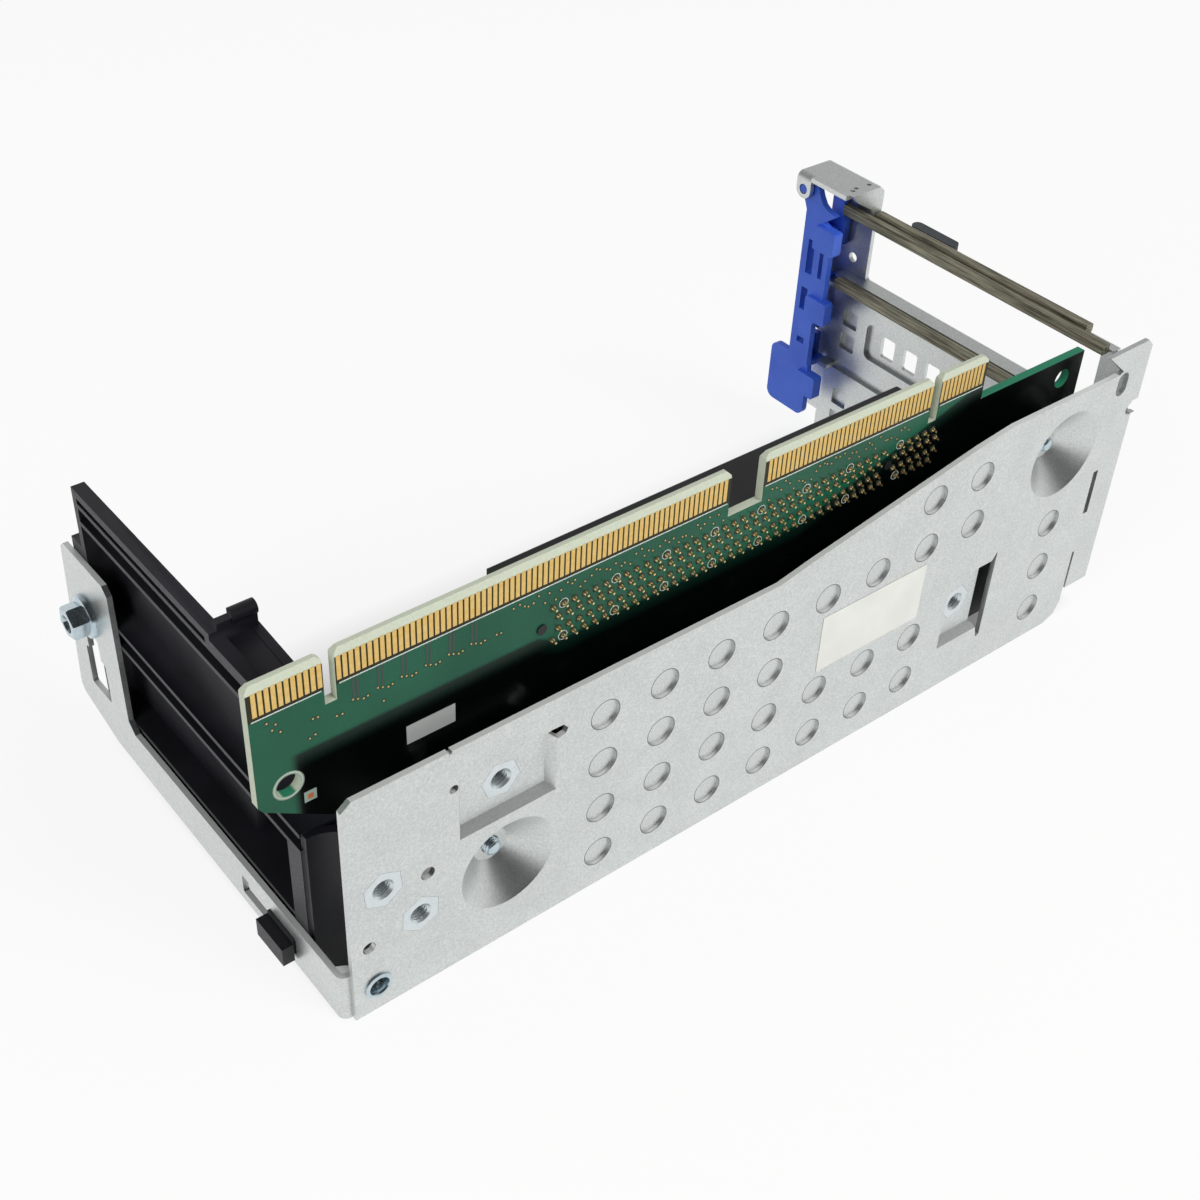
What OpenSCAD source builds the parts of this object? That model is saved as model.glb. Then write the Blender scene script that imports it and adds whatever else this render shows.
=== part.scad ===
// Riser cage bracket: a galvanised side plate, an end strap with a moulded card guide and a rear
// panel with a blue retention lever carry a vertical riser board with three card slots.
// Working frame: x from the left edge of the board, y from its front face, z from the resting plane.

/* [Sheet metal] */
// Thickness of every galvanised sheet
sheet_t = 1; // [0.8:0.1:1.2]
// Gap between the side plate and the riser board
standoff = 5; // [4.5:0.25:6]
// Left edge of the side plate, from the left edge of the board
plate_x0 = 9.3; // [9.3:0.1:10.5]
// Length of the side plate
plate_l = 167.7; // [166:0.1:169]
// Height of the low left part of the side plate
plate_low_h = 47.5; // [46:0.5:49]
// Height of the side plate at its right end
plate_high_h = 57.4; // [56:0.1:58]
// Outer radius of the sheet bends
bend_r = 1.5; // [1.3:0.1:2]
// How far the eyelet stands proud of the plate
proud_h = 0.45; // [0.3:0.05:0.6]
// Depth of the dimples
dimple_d = 0.55; // [0.4:0.05:0.6]

/* [Side plate features] */
// Pitch of the dimple columns
dimple_pitch = 12.1; // [11.5:0.1:12.5]
// Pitch of the dimple rows
dimple_row = 10.4; // [10:0.1:10.8]
// Radius of a dimple
dimple_r = 2.8; // [2.4:0.1:3]
// Mouth radius of the two screw cones
cone_mouth_r = 9; // [8:0.1:9.2]
// Floor radius of the two screw cones
cone_floor_r = 3.2; // [2.8:0.1:4]
// Left screw cone, along the board
cone_left_x = 38.5; // [37:0.5:40]
// Left screw cone, above the resting plane
cone_left_z = 17; // [16:0.5:18]
// Right screw cone, along the board
cone_right_x = 165.3; // [164:0.1:165.5]
// Right screw cone, above the resting plane
cone_right_z = 44.5; // [43:0.5:45]
// Depth of the two nut pockets
pocket_d = 1.6; // [1:0.1:2]
// Radius of the larger pilot hole
pilot_a_r = 1.25; // [1:0.05:1.5]
// Radius of the smaller pilot hole
pilot_b_r = 1.15; // [0.9:0.05:1.4]

/* [Clinch nuts] */
// Width across flats of the clinch nuts
nut_af = 6.4; // [6:0.1:6.6]
// Thread bore radius of the clinch nuts
nut_bore_r = 1.62; // [1.4:0.02:1.8]
// Depth of the clinch nuts
nut_h = 2.8; // [2.2:0.1:3.4]

/* [End strap] */
// Outer face of the end strap, from the left edge of the board
strap_x = 7.6; // [7.4:0.1:7.8]
// Height of the end strap
strap_h = 9.8; // [9:0.1:10.5]
// Near edge of the strap tab, from the board face
tab_y0 = 63.6; // [62:0.1:65]
// Far edge of the strap tab, from the board face
tab_y1 = 83.5; // [82.5:0.1:85]
// Height of the strap tab
tab_h = 41; // [40:0.1:42]
// Flange screw, from the board face
screw_y = 73.6; // [73.4:0.1:74.4]
// Flange screw, above the resting plane
screw_z = 29; // [28:0.1:29.6]

/* [Riser board] */
// Length of the riser board
board_l = 173; // [171:0.5:174]
// Thickness of the riser board
board_t = 1.6; // [1.5:0.1:1.8]
// Height of the contact tips above the resting plane
tip_h = 70; // [69.5:0.25:71]
// Drop of the board's long upper edge below the contact tips
edge_drop = 8.8; // [8.4:0.1:9.5]
// Height of the board's lower edge above the resting plane
board_z0 = 6; // [5:0.5:7]
// Depth of the key slots below the contact tips
key_d = 8.1; // [7.5:0.1:8.4]
// Width of the key slots
key_w = 1.9; // [1.8:0.05:2]
// Gap between the two contact blocks
block_gap = 7.25; // [6.5:0.25:8]
// Height of the bevel at the contact tips
bevel_h = 1.2; // [0.8:0.1:1.4]

/* [Contacts] */
// Pitch of the edge contacts
contact_pitch = 1; // [1:0.01:1.02]
// Width of an edge contact
contact_w = 0.7; // [0.6:0.05:0.75]
// Length of an edge contact
contact_h = 4.2; // [3.8:0.1:4.6]
// Thickness of an edge contact
contact_t = 0.06; // [0.05:0.01:0.1]

/* [Card slots] */
// Pitch of the card slots and of the bracket windows
slot_pitch = 20.32; // [20:0.02:20.4]
// Length of a slot connector
slot_l = 89; // [88:0.5:90]
// Width of a slot connector
slot_w = 7.5; // [7:0.1:7.8]
// Height of a slot connector above the board
slot_h = 11.5; // [10.75:0.25:11.75]
// Left end of the slot connectors, from the left edge of the board
slot_x0 = 48; // [46:0.5:49]
// Drop of the top slot's card plane below the contact tips
slot_drop = 13.8; // [13.4:0.1:14.6]

/* [Rear panel] */
// Reach of the rear flange beyond the side plate
flange_reach = 10; // [9.5:0.1:10.5]
// Lower edge of the rear flange, above the resting plane
flange_z0 = 5.6; // [5:0.1:6]
// Top of the rear flange's ear
ear_h = 61.5; // [61:0.1:62.5]
// Centre of the top bracket window above the resting plane
window_z1 = 49; // [48.8:0.05:49.2]
// Top of a bracket window above its centre
window_up = 6.35; // [6.1:0.05:6.5]
// Bottom of a bracket window below its centre
window_down = 7.5; // [7:0.1:7.6]
// Near edge of the bracket windows, from the board face
window_y0 = 4.5; // [4:0.1:5]
// Far edge of the bracket windows, from the board face
window_y1 = 65.5; // [64.5:0.1:66]
// Far edge of the rear panel, from the board face
panel_y1 = 80; // [80:0.1:80.6]
// Depth of the window lips
lip_d = 2.7; // [2.5:0.1:3.1]
// Thickness of the window lips
lip_t = 0.8; // [0.6:0.05:0.9]

/* [Latch bracket] */
// Height of the latch bracket's top plate
clevis_h = 63.7; // [63.5:0.1:64.5]
// Width of the latch bracket from the rear panel to its ear
clevis_w = 10.5; // [10.4:0.1:11]
// Near edge of the latch bracket, from the board face
clevis_y0 = 65.7; // [65:0.1:66.5]
// Hinge axis, from the board face
axis_y = 77.95; // [77.8:0.05:78]
// Hinge axis above the resting plane
axis_z = 60.4; // [60.2:0.05:60.5]
// Radius of the latch pivots
pivot_r = 0.95; // [0.8:0.05:1]
// Running clearance of the latch pivots
pivot_gap = 0.15; // [0.1:0.05:0.2]

/* [Retention latch] */
// Width of the latch along the hinge axis
latch_w = 7.2; // [7:0.1:7.4]
// Wall thickness of the latch
latch_t = 1.4; // [1.2:0.1:1.6]
// Far face of the latch, from the board face
latch_y1 = 77.8; // [77.5:0.1:77.9]
// Bottom of the latch paddle above the resting plane
paddle_z0 = 6.3; // [6:0.1:7]
// Height of the latch paddle
paddle_h = 14.4; // [13:0.1:15]
// Far edge of the latch paddle, from the board face
paddle_y1 = 83.2; // [82:0.1:83.3]
// Reach of the latch hooks from the latch plate
hook_reach = 1; // [0.8:0.1:1.2]

/* [Filler brackets] */
// Width of a filler bracket
filler_w = 18.42; // [18:0.02:18.6]
// Thickness of a filler bracket
filler_t = 0.9; // [0.8:0.05:1]
// Depth of the recess that holds the vents
recess_d = 1; // [0.8:0.1:1.1]
// Pitch of the vent holes
vent_pitch = 6.5; // [6.2:0.1:6.6]
// Width of a vent hole
vent_w = 3.9; // [3.4:0.1:4.2]
// Height of a vent hole
vent_h = 5; // [4.4:0.1:5.4]
// Number of vent holes
vent_n = 8; // [6:1:8]

/* [Gaskets] */
// Width of a gasket strip
gasket_w = 2.1; // [1.9:0.1:2.2]
// Height of a gasket strip
gasket_h = 2.2; // [1.8:0.1:2.4]

/* [Card guide] */
// Depth of the guide ribs
rib_d = 4; // [3.5:0.1:4.5]
// Thickness of the guide ribs
rib_t = 0.9; // [0.8:0.1:1.2]
// Thickness of the guide's back wall
guide_t = 2; // [1.6:0.1:2.4]
// Distance between the two ribs of a channel
channel_w = 3.6; // [3.2:0.1:4]
// Pitch of the guide channels
channel_pitch = 20.9; // [20.7:0.05:21]
// Centre of the top guide channel above the resting plane
channel_z1 = 51; // [50.5:0.1:51.5]
// Far edge of the guide, from the board face
guide_y1 = 73.5; // [73:0.1:74]
// Near edge of the guide, from the board face
guide_y0 = 5.7; // [5.5:0.1:6.2]
// Top of the guide above the resting plane
guide_h = 55.8; // [55.5:0.1:56.5]
// Bottom of the guide above the resting plane
guide_z0 = 1; // [0.8:0.1:2]
// Width of the guide's top rim
rim_w = 2.4; // [2:0.1:2.8]

/* [Small parts] */
// Thickness of the paper labels
label_t = 0.1; // [0.08:0.01:0.15]
// Radius of the board screws
board_screw_r = 1.5; // [1.3:0.05:1.5]
// Radius of the flange screw's thread
flange_screw_r = 1.6; // [1.4:0.05:1.7]
// Clearance of a screw in its hole
screw_gap = 0.15; // [0.1:0.05:0.2]
// Hair gap between pieces that lie side by side
fit_gap = 0.05; // [0.04:0.01:0.08]
// Thickness of the outer rubber pad
pad_t = 3; // [2.5:0.1:3.2]
// Height of the outer rubber pad
pad_h = 1.9; // [1.6:0.1:2.2]

/* [Hidden] */

galvanised = "#C9CDCB";
moulded = "#222226";
zinc = "#D6DEE0";

// y of the sheet planes: outer and inner face of the side plate, inner face of the lapped sheets
y_out = -standoff - sheet_t;
y_in = -standoff;
y_lap = -standoff + sheet_t;
plate_x1 = plate_x0 + plate_l;
wall_out = plate_x1 + flange_reach;
wall_in = wall_out - sheet_t;
strap_in = strap_x + sheet_t;
guide_x0 = strap_in + fit_gap;
web_x0 = guide_x0 + rib_d;
bend_in = bend_r - sheet_t;
wall_y1 = 77.2;
pad_x1 = wall_out + pad_t;
edge_h = tip_h - edge_drop;
x_min = 0;
y_min = y_out - proud_h;

// Contact blocks of the card edge: [first contact x, number of contacts, left edge x, right edge x]
key_margin = 0.55;
end_margin = 1.1;
function block(x0, left, n, right) =
    [x0 + left, n, x0, x0 + left + (n - 1) * contact_pitch + right];
blk_a = block(0, end_margin, 11, key_margin);
blk_b = block(blk_a[3] + key_w, key_margin, 71, end_margin);
blk_c = block(blk_b[3] + block_gap, end_margin, 38, key_margin);
blk_d = block(blk_c[3] + key_w, key_margin, 11, end_margin);
BLOCKS = [blk_a, blk_b, blk_c, blk_d];

// Foot tabs of the side plate, and the strap's lap that ends beside the first of them
foot_x = [20, 140.5];
foot_l = 19.5;
lap_x1 = foot_x[0] - 0.3;

// Clinch nuts: [x, z, depth of its pocket, turn of its hexagon]
nut_a = [38.1, plate_low_h - 12.8, pocket_d, 50];
nut_b = [15.5, 26.3, 0, 35];
nut_c = [21.85, 16.5, 0, 27];
nut_d = [143.7, 18.7, pocket_d, 8];
NUTS = [nut_a, nut_b, nut_c, nut_d];
eyelet_x = 13.7;
eyelet_z = 5.5;
eyelet_r = 1.9;
CONES = [[cone_left_x, cone_left_z], [cone_right_x, cone_right_z]];

// Places the working frame so that the origin lies at the centre of the footprint
module seat() {
    translate([-(x_min + pad_x1) / 2, -(y_min + tab_y1) / 2, 0]) children();
}

// A plate cut from an outline drawn in x and z, with its front face at y
module upright(y, t) {
    translate([0, y + t, 0]) rotate([90, 0, 0]) linear_extrude(t) children();
}

// A plate cut from an outline drawn in y and z, with its left face at x
module crosswise(x, t) {
    translate([x, 0, 0]) rotate([90, 0, 90]) linear_extrude(t) children();
}

// A round bar along y that starts at y0
module bar_y(x, z, y0, y1, r, n = 48) {
    translate([x, y1, z]) rotate([90, 0, 0]) cylinder(r = r, h = y1 - y0, $fn = n);
}

// A round bar along x that starts at x0
module bar_x(y, z, x0, x1, r, n = 48) {
    translate([x0, y, z]) rotate([0, 90, 0]) cylinder(r = r, h = x1 - x0, $fn = n);
}

module box(a, b) {
    translate(a) cube(b - a);
}

// Quarter bend of a sheet about an upright axis, which fills the quadrant from a to a + 90 degrees
module upright_bend(x, y, z0, z1, a) {
    translate([x, y, z0]) rotate([0, 0, a]) rotate_extrude(angle = 90, $fn = 48)
        translate([bend_in, 0]) square([sheet_t, z1 - z0]);
}

// Rounded rectangle from two corners, built from true arcs
module round_rect(a, b, r) {
    translate([a[0] + r, a[1]]) square([b[0] - a[0] - 2 * r, b[1] - a[1]]);
    translate([a[0], a[1] + r]) square([b[0] - a[0], b[1] - a[1] - 2 * r]);
    for (x = [a[0] + r, b[0] - r], z = [a[1] + r, b[1] - r])
        translate([x, z]) circle(r = r, $fn = 24);
}

// Frustum of a pocket pressed inward from the plate face at y, with sloped walls
module pocket(x0, z0, x1, z1, y, d, slope) {
    intersection() {
        translate([0, 0, z0]) linear_extrude(z1 - z0)
            polygon([[x0, y], [x1, y], [x1 - slope, y + d], [x0 + slope, y + d]]);
        crosswise(x0, x1 - x0)
            polygon([[y, z0], [y, z1], [y + d, z1 - slope], [y + d, z0 + slope]]);
    }
}

// Dimple centres as [x, z]
dimple_x0 = 57;
dimple_z0 = 7.6;
function col(i) = dimple_x0 + i * dimple_pitch;
function row(j) = dimple_z0 + j * dimple_row;
DIMPLES = concat(
    [for (i = [0:6]) [col(i), row(0)]],
    [for (i = [0:6]) [col(i), row(1)]],
    [for (i = [0:3]) [col(i), row(2)]],
    [for (i = [0:7]) [col(i), row(3)]],
    [for (i = [6:7]) [col(i), row(4)]],
    [for (j = [0:2]) [col(9), row(j)]]);

module plate_outline() {
    polygon([[plate_x0, 0], [plate_x1 - 4, 0], [plate_x1 - 1.2, 1.2], [plate_x1, 4],
        [plate_x1, plate_high_h], [plate_x1 - 29, plate_high_h], [plate_x1 - 38, plate_high_h - 1.2],
        [plate_x1 - 76, plate_low_h + 1.7], [plate_x1 - 84, plate_low_h],
        [plate_x0 + 1.8, plate_low_h], [plate_x0, plate_low_h - 1.4]]);
}

module side_plate() {
    slope = 1.2;
    color(galvanised) seat() {
        difference() {
            union() {
                upright(y_out, sheet_t) difference() {
                    plate_outline();
                    for (c = CONES) translate(c) circle(r = cone_mouth_r, $fn = 64);
                }
                for (c = CONES) translate([c[0], y_out, c[1]]) rotate([-90, 0, 0]) {
                    cylinder(r1 = cone_mouth_r + 0.5, r2 = cone_floor_r + 0.5,
                        h = standoff + sheet_t - fit_gap, $fn = 64);
                }
                pocket(28.5, nut_a[1] - 7.4, 48.4, nut_a[1] + 7.4, y_out + 0.5,
                    pocket_d + sheet_t - 0.5, slope);
                pocket(138.1, 9.6, 149.7, 27.2, y_out + 0.5, pocket_d + sheet_t - 0.5, slope);
                for (x = foot_x) box([x, y_out, 0], [x + foot_l, y_in + 6, sheet_t]);
                for (d = DIMPLES) if (d[0] < 158) translate([d[0], y_in - 0.1, d[1]])
                    rotate([-90, 0, 0]) cylinder(r = dimple_r - 0.4, h = dimple_d + 0.1, $fn = 32);
            }
            for (c = CONES) translate([c[0], y_out - 0.01, c[1]]) rotate([-90, 0, 0]) {
                cylinder(r1 = cone_mouth_r, r2 = cone_floor_r, h = standoff, $fn = 64);
                cylinder(r = board_screw_r + screw_gap, h = standoff + 2 * sheet_t, $fn = 32);
            }
            pocket(29.3, nut_a[1] - 6.6, 47.6, nut_a[1] + 6.6, y_out - 0.02, pocket_d + 0.02,
                slope);
            pocket(138.9, 10.4, 151.3, 26.4, y_out - 0.02, pocket_d + 0.02, slope);
            upright(y_out - 1, 6) polygon([[149.1, 24.6], [151.5, 28.1], [151.4, 8],
                [150.6, 7.6], [149.1, 12.9]]);
            upright(y_out - 1, 6) translate([0, nut_a[1]]) polygon([[44.7, 6.2], [47.9, 4.2],
                [49.2, 4.6], [49.6, 5.5], [48.7, 6.6], [46.5, 6.7]]);
            for (d = DIMPLES) translate([d[0], y_out - 0.01, d[1]]) rotate([-90, 0, 0])
                cylinder(r1 = dimple_r, r2 = dimple_r - 0.15, h = dimple_d, $fn = 32);
            for (n = NUTS) translate([n[0], y_out - 1, n[1]]) rotate([-90, 0, 0])
                rotate(-n[3]) cylinder(r = nut_af / sqrt(3) + fit_gap, h = 6, $fn = 6);
            bar_y(23.4, 24.6, y_out - 1, y_in + 1, pilot_a_r);
            bar_y(12.5, 15.1, y_out - 1, y_in + 1, pilot_b_r);
            bar_y(28.4, plate_low_h - 7.9, y_out - 1, y_in + 1, 0.8);
            bar_y(eyelet_x, eyelet_z, y_out - 1, y_in + 1, eyelet_r + fit_gap);
            upright(y_out - 1, 3) polygon([[27.6, plate_low_h + 1], [27.6, plate_low_h - 0.5],
                [28.2, plate_low_h - 0.5], [28.2, plate_low_h + 1]]);
        }
    }
}

module strap_outline() {
    polygon([[y_in + bend_r, 0], [52, 1.2], [70, 1.6], [tab_y1 - 1.2, 5], [tab_y1, 6.6],
        [tab_y1 - 2.9, tab_h - 1.2], [tab_y1 - 4.1, tab_h], [tab_y0 + 1.5, tab_h],
        [tab_y0, tab_h - 1.5], [tab_y0, strap_h + 2], [tab_y0 - 2, strap_h],
        [y_in + bend_r, strap_h]]);
}

module end_strap() {
    color(galvanised) seat() difference() {
        union() {
            crosswise(strap_x, sheet_t) strap_outline();
            upright_bend(strap_x + bend_r, y_in + bend_r, 0, strap_h, 180);
            box([strap_x + bend_r, y_in, 0], [lap_x1, y_lap, strap_h]);
        }
        crosswise(strap_x - 1, 4) {
            round_rect([8.5, 2.6], [25.3, 6.7], 0.6);
            round_rect([70, 11.2], [77.3, 20], 0.6);
            round_rect([71.6, 18], [76.2, 24.4], 0.6);
        }
        bar_x(screw_y, screw_z, strap_x - 1, strap_in + 1, flange_screw_r + screw_gap);
        bar_y(eyelet_x, eyelet_z, y_in - 1, y_lap + 1, eyelet_r + fit_gap);
    }
}

// Outline of the rear flange, which laps behind the side plate and carries the free ear
module flange_outline() {
    difference() {
        polygon([[158, flange_z0], [wall_out - bend_r, flange_z0], [wall_out - bend_r, 45.2],
            [wall_out, 45.4], [wall_out, ear_h - 1.4], [wall_out - 1.4, ear_h],
            [wall_out - 12.6, ear_h - 0.2], [wall_out - 7.3, 56.8], [wall_out - 8.6, 56.2],
            [wall_out - 11.2, 56.2], [wall_out - 11.2, 33], [158, 33]]);
        translate([wall_out - 1.8, 45.4]) square([3, 3]);
        translate([wall_out - 1.8, 46.6]) circle(r = 1.3, $fn = 32);
        translate([wall_out - 8.2, 52.8]) square([3, 2]);
        for (z = [52.8, 54.8]) translate([wall_out - 6.7, z]) circle(r = 1.5, $fn = 32);
        translate([plate_x1 - 0.8, 24.5]) square([3.8, 10]);
        translate([plate_x1 - 0.8, flange_z0 - 1]) square([3.1, 10.4]);
    }
}

function window_z(i) = window_z1 - i * slot_pitch;
rail_z = window_z1 + window_up;
sill_z = window_z1 - window_down;

// Outline of the rear wall in y and z: card windows, latch support and the pivot hole
module wall_outline() {
    difference() {
        union() {
            translate([y_in + bend_r, 0])
                square([wall_y1 - y_in - bend_r, rail_z]);
            translate([clevis_y0, rail_z - 1])
                square([wall_y1 - clevis_y0, clevis_h - bend_r - rail_z + 1]);
            translate([wall_y1 - 1, axis_z])
                square([panel_y1 - wall_y1 + 1, clevis_h - bend_r - axis_z]);
            translate([axis_y, axis_z]) circle(r = panel_y1 - axis_y, $fn = 48);
            translate([y_in + bend_r + 4.8, rail_z - 0.01]) square([clevis_y0 - 3, lip_t + 0.01]);
        }
        for (i = [0:2]) round_rect([window_y0, window_z(i) - window_down],
            [window_y1, window_z(i) + window_up], 0.8);
        translate([69.8, 45.1]) circle(r = 1.1, $fn = 32);
        translate([axis_y, axis_z]) circle(r = pivot_r + pivot_gap, $fn = 32);
        translate([wall_y1 - 3, -1]) square([6, 5]);
        translate([y_in, -1]) square([9, flange_z0 + 1]);
    }
}

module rear_panel() {
    ear_x = wall_out - clevis_w;
    color(galvanised) seat() {
        upright(y_in, sheet_t) flange_outline();
        upright_bend(wall_out - bend_r, y_in + bend_r, flange_z0, 45.2, 270);
        crosswise(wall_in, sheet_t) wall_outline();
        // lips folded inward above the top window and below it
        box([wall_out - lip_d + 0.5, 1.4, rail_z], [wall_in + 0.01, 71.5, rail_z + lip_t]);
        box([wall_in - lip_d, window_y0, sill_z - lip_t], [wall_in + 0.01, 71.5, sill_z]);
        // ledge that carries the outer pad
        box([wall_out - 0.01, 44, rail_z], [pad_x1, 58, rail_z + lip_t]);
        // locating lugs between the bracket positions
        for (i = [0:1]) box([wall_in - 3.4, 70, window_z(i) - slot_pitch / 2 - 0.5],
            [wall_in + 0.01, 73, window_z(i) - slot_pitch / 2 + 0.5]);
        // latch bracket: bend, top plate, bend and pierced ear
        translate([wall_out - bend_r, panel_y1, clevis_h - bend_r]) rotate([90, 0, 0])
            rotate_extrude(angle = 90, $fn = 48) translate([bend_in, 0])
            square([sheet_t, panel_y1 - clevis_y0]);
        difference() {
            box([ear_x, clevis_y0, clevis_h - sheet_t], [wall_out - bend_r, panel_y1, clevis_h]);
            box([ear_x - 1, panel_y1 - 4.1, clevis_h - 2], [ear_x + bend_r, panel_y1 + 1, clevis_h + 1]);
            for (p = [[179.4, 66.7], [180.9, 67.2], [184.4, 66.9]]) translate([p[0], p[1], clevis_h - 2])
                cylinder(r = 0.5, h = 3, $fn = 24);
        }
        // web that stiffens the near end of the top plate
        upright(clevis_y0 - sheet_t, sheet_t + 0.01) polygon([[ear_x + 1, clevis_h],
            [ear_x + 2.6, clevis_h - 1.8], [wall_in - 1.1, rail_z + 3],
            [wall_in - 1.1, rail_z + lip_t - 0.01], [wall_out, rail_z + lip_t - 0.01],
            [wall_out, clevis_h - 1.2], [wall_out - 1.2, clevis_h]]);
        translate([ear_x + bend_r, panel_y1, clevis_h - bend_r]) rotate([90, 0, 0])
            rotate([0, 0, 90]) rotate_extrude(angle = 90, $fn = 48) translate([bend_in, 0])
            square([sheet_t, 4.1]);
        crosswise(ear_x, sheet_t) difference() {
            union() {
                translate([panel_y1 - 4.1, axis_z]) square([4.1, clevis_h - bend_r - axis_z]);
                translate([axis_y, axis_z]) circle(r = panel_y1 - axis_y, $fn = 48);
            }
            translate([axis_y, axis_z]) circle(r = pivot_r + pivot_gap, $fn = 32);
        }
    }
}

// A slot cover: flat strip with a shallow recess that holds a row of vents
module filler(zc, z_low) {
    x0 = wall_in - filler_t;
    z0 = max(zc - filler_w / 2, z_low);
    z1 = zc + filler_w / 2;
    color(galvanised) seat() difference() {
        union() {
            crosswise(x0, filler_t) round_rect([2, z0], [72.6, z1], 1);
            crosswise(x0 + 0.3, filler_t + recess_d - 0.3)
                round_rect([7.4, zc - 4.9], [62.6, zc + 4.9], 2);
        }
        crosswise(x0 - 0.01, recess_d + 0.01) round_rect([8, zc - 4.3], [62, zc + 4.3], 1.6);
        for (i = [0:vent_n - 1]) crosswise(x0 - 1, 4)
            round_rect([56.2 - i * vent_pitch - vent_w / 2, zc - vent_h / 2],
                [56.2 - i * vent_pitch + vent_w / 2, zc + vent_h / 2], 0.5);
        for (z = [zc - 3.3, zc + 2.5]) crosswise(x0 - 1, 4)
            round_rect([65, z - 2], [69.2, z + 2], 0.4);
    }
}

module filler_bracket_middle() {
    filler(window_z(1), 0);
}

module filler_bracket_lower() {
    filler(window_z(2), 0.4);
}

// Soft strip along y with rounded long edges
module gasket(x0, z0, w, h, y0, y1) {
    color("#77745F") seat() upright(y0, y1 - y0) round_rect([x0, z0], [x0 + w, z0 + h], 0.4);
}

module gasket_top_outer() {
    gasket(wall_in - 0.8, rail_z + lip_t, gasket_w, gasket_h - 0.3, 8.5, 64.4);
}

module gasket_top_inner() {
    gasket(wall_out - lip_d + 0.5 - gasket_w, rail_z, gasket_w, gasket_h, 2.4, 71.5);
}

module gasket_middle() {
    gasket(wall_in - lip_d - gasket_w, sill_z - gasket_h - 0.1, gasket_w, gasket_h,
        window_y0, 69.8);
}

module outer_pad() {
    color("#3B3F42") seat() translate([0, 0, rail_z + lip_t]) linear_extrude(pad_h)
        round_rect([wall_out + 0.4, 45], [pad_x1, 57], 1.2);
}

module board_outline() {
    difference() {
        union() {
            polygon([[0, tip_h - 22], [0.8, tip_h - 23.2], [30, tip_h - 42.2], [30, board_z0],
                [board_l, board_z0], [board_l, edge_h], [0, edge_h]]);
            for (b = BLOCKS) translate([b[2], edge_h - 4])
                square([b[3] - b[2], tip_h - bevel_h - edge_h + 4]);
        }
        for (x = [blk_a[3], blk_c[3]]) {
            translate([x, tip_h - key_d + key_w / 2]) square([key_w, key_d]);
            translate([x + key_w / 2, tip_h - key_d + key_w / 2])
                circle(r = key_w / 2, $fn = 32);
        }
        translate([5, tip_h - 20.4]) circle(r = 2, $fn = 48);
        translate([board_l - 5.2, tip_h - 13]) circle(r = 1.9, $fn = 48);
        for (c = CONES) translate(c) circle(r = board_screw_r + screw_gap, $fn = 32);
    }
}

module riser_board() {
    lead = 0.4;
    color("#1F5A45") seat() {
        upright(0, board_t) board_outline();
        for (b = BLOCKS) intersection() {
            crosswise(b[2], b[3] - b[2])
                polygon([[0, tip_h - bevel_h], [board_t, tip_h - bevel_h],
                    [board_t - lead, tip_h], [lead, tip_h]]);
            upright(-1, board_t + 2) polygon([[b[2], tip_h - bevel_h - 1],
                [b[2], tip_h - 0.8], [b[2] + 0.8, tip_h], [b[3] - 0.8, tip_h],
                [b[3], tip_h - 0.8], [b[3], tip_h - bevel_h - 1]]);
        }
    }
}

module edge_contacts() {
    z1 = tip_h - bevel_h;
    color("#E0B35A") seat() for (b = BLOCKS, i = [0:b[1] - 1], y = [-contact_t, board_t]) {
        x = b[0] + i * contact_pitch;
        box([x - contact_w / 2, y, z1 - contact_h], [x + contact_w / 2, y + contact_t, z1]);
    }
}

// Card edge socket along x, with a keyed slot and a pair of rows of contact pockets
module slot_connector(i) {
    zc = tip_h - slot_drop - i * slot_pitch;
    y1 = board_t + slot_h;
    x1 = slot_x0 + slot_l;
    key_x = x1 - 14.5;
    color(moulded) seat() difference() {
        translate([slot_x0, 0, 0]) crosswise(0, slot_l)
            polygon([[board_t, zc - slot_w / 2], [y1 - 0.5, zc - slot_w / 2],
                [y1, zc - slot_w / 2 + 0.4], [y1, zc + slot_w / 2 - 0.4],
                [y1 - 0.5, zc + slot_w / 2], [board_t, zc + slot_w / 2]]);
        box([slot_x0 + 2, y1 - 8, zc - 0.95], [key_x - 0.85, y1 + 1, zc + 0.95]);
        box([key_x + 0.85, y1 - 8, zc - 0.95], [x1 - 2, y1 + 1, zc + 0.95]);
        for (s = [-1, 1]) box([slot_x0 + 2.6, y1 - 0.5, zc + s * 1.8 - 0.7],
            [x1 - 2.6, y1 + 1, zc + s * 1.8 + 0.7]);
    }
}

module slot_connector_top() {
    slot_connector(0);
}

module slot_connector_middle() {
    slot_connector(1);
}

module slot_connector_bottom() {
    slot_connector(2);
}

function channel_z(i) = channel_z1 - i * channel_pitch;

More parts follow.
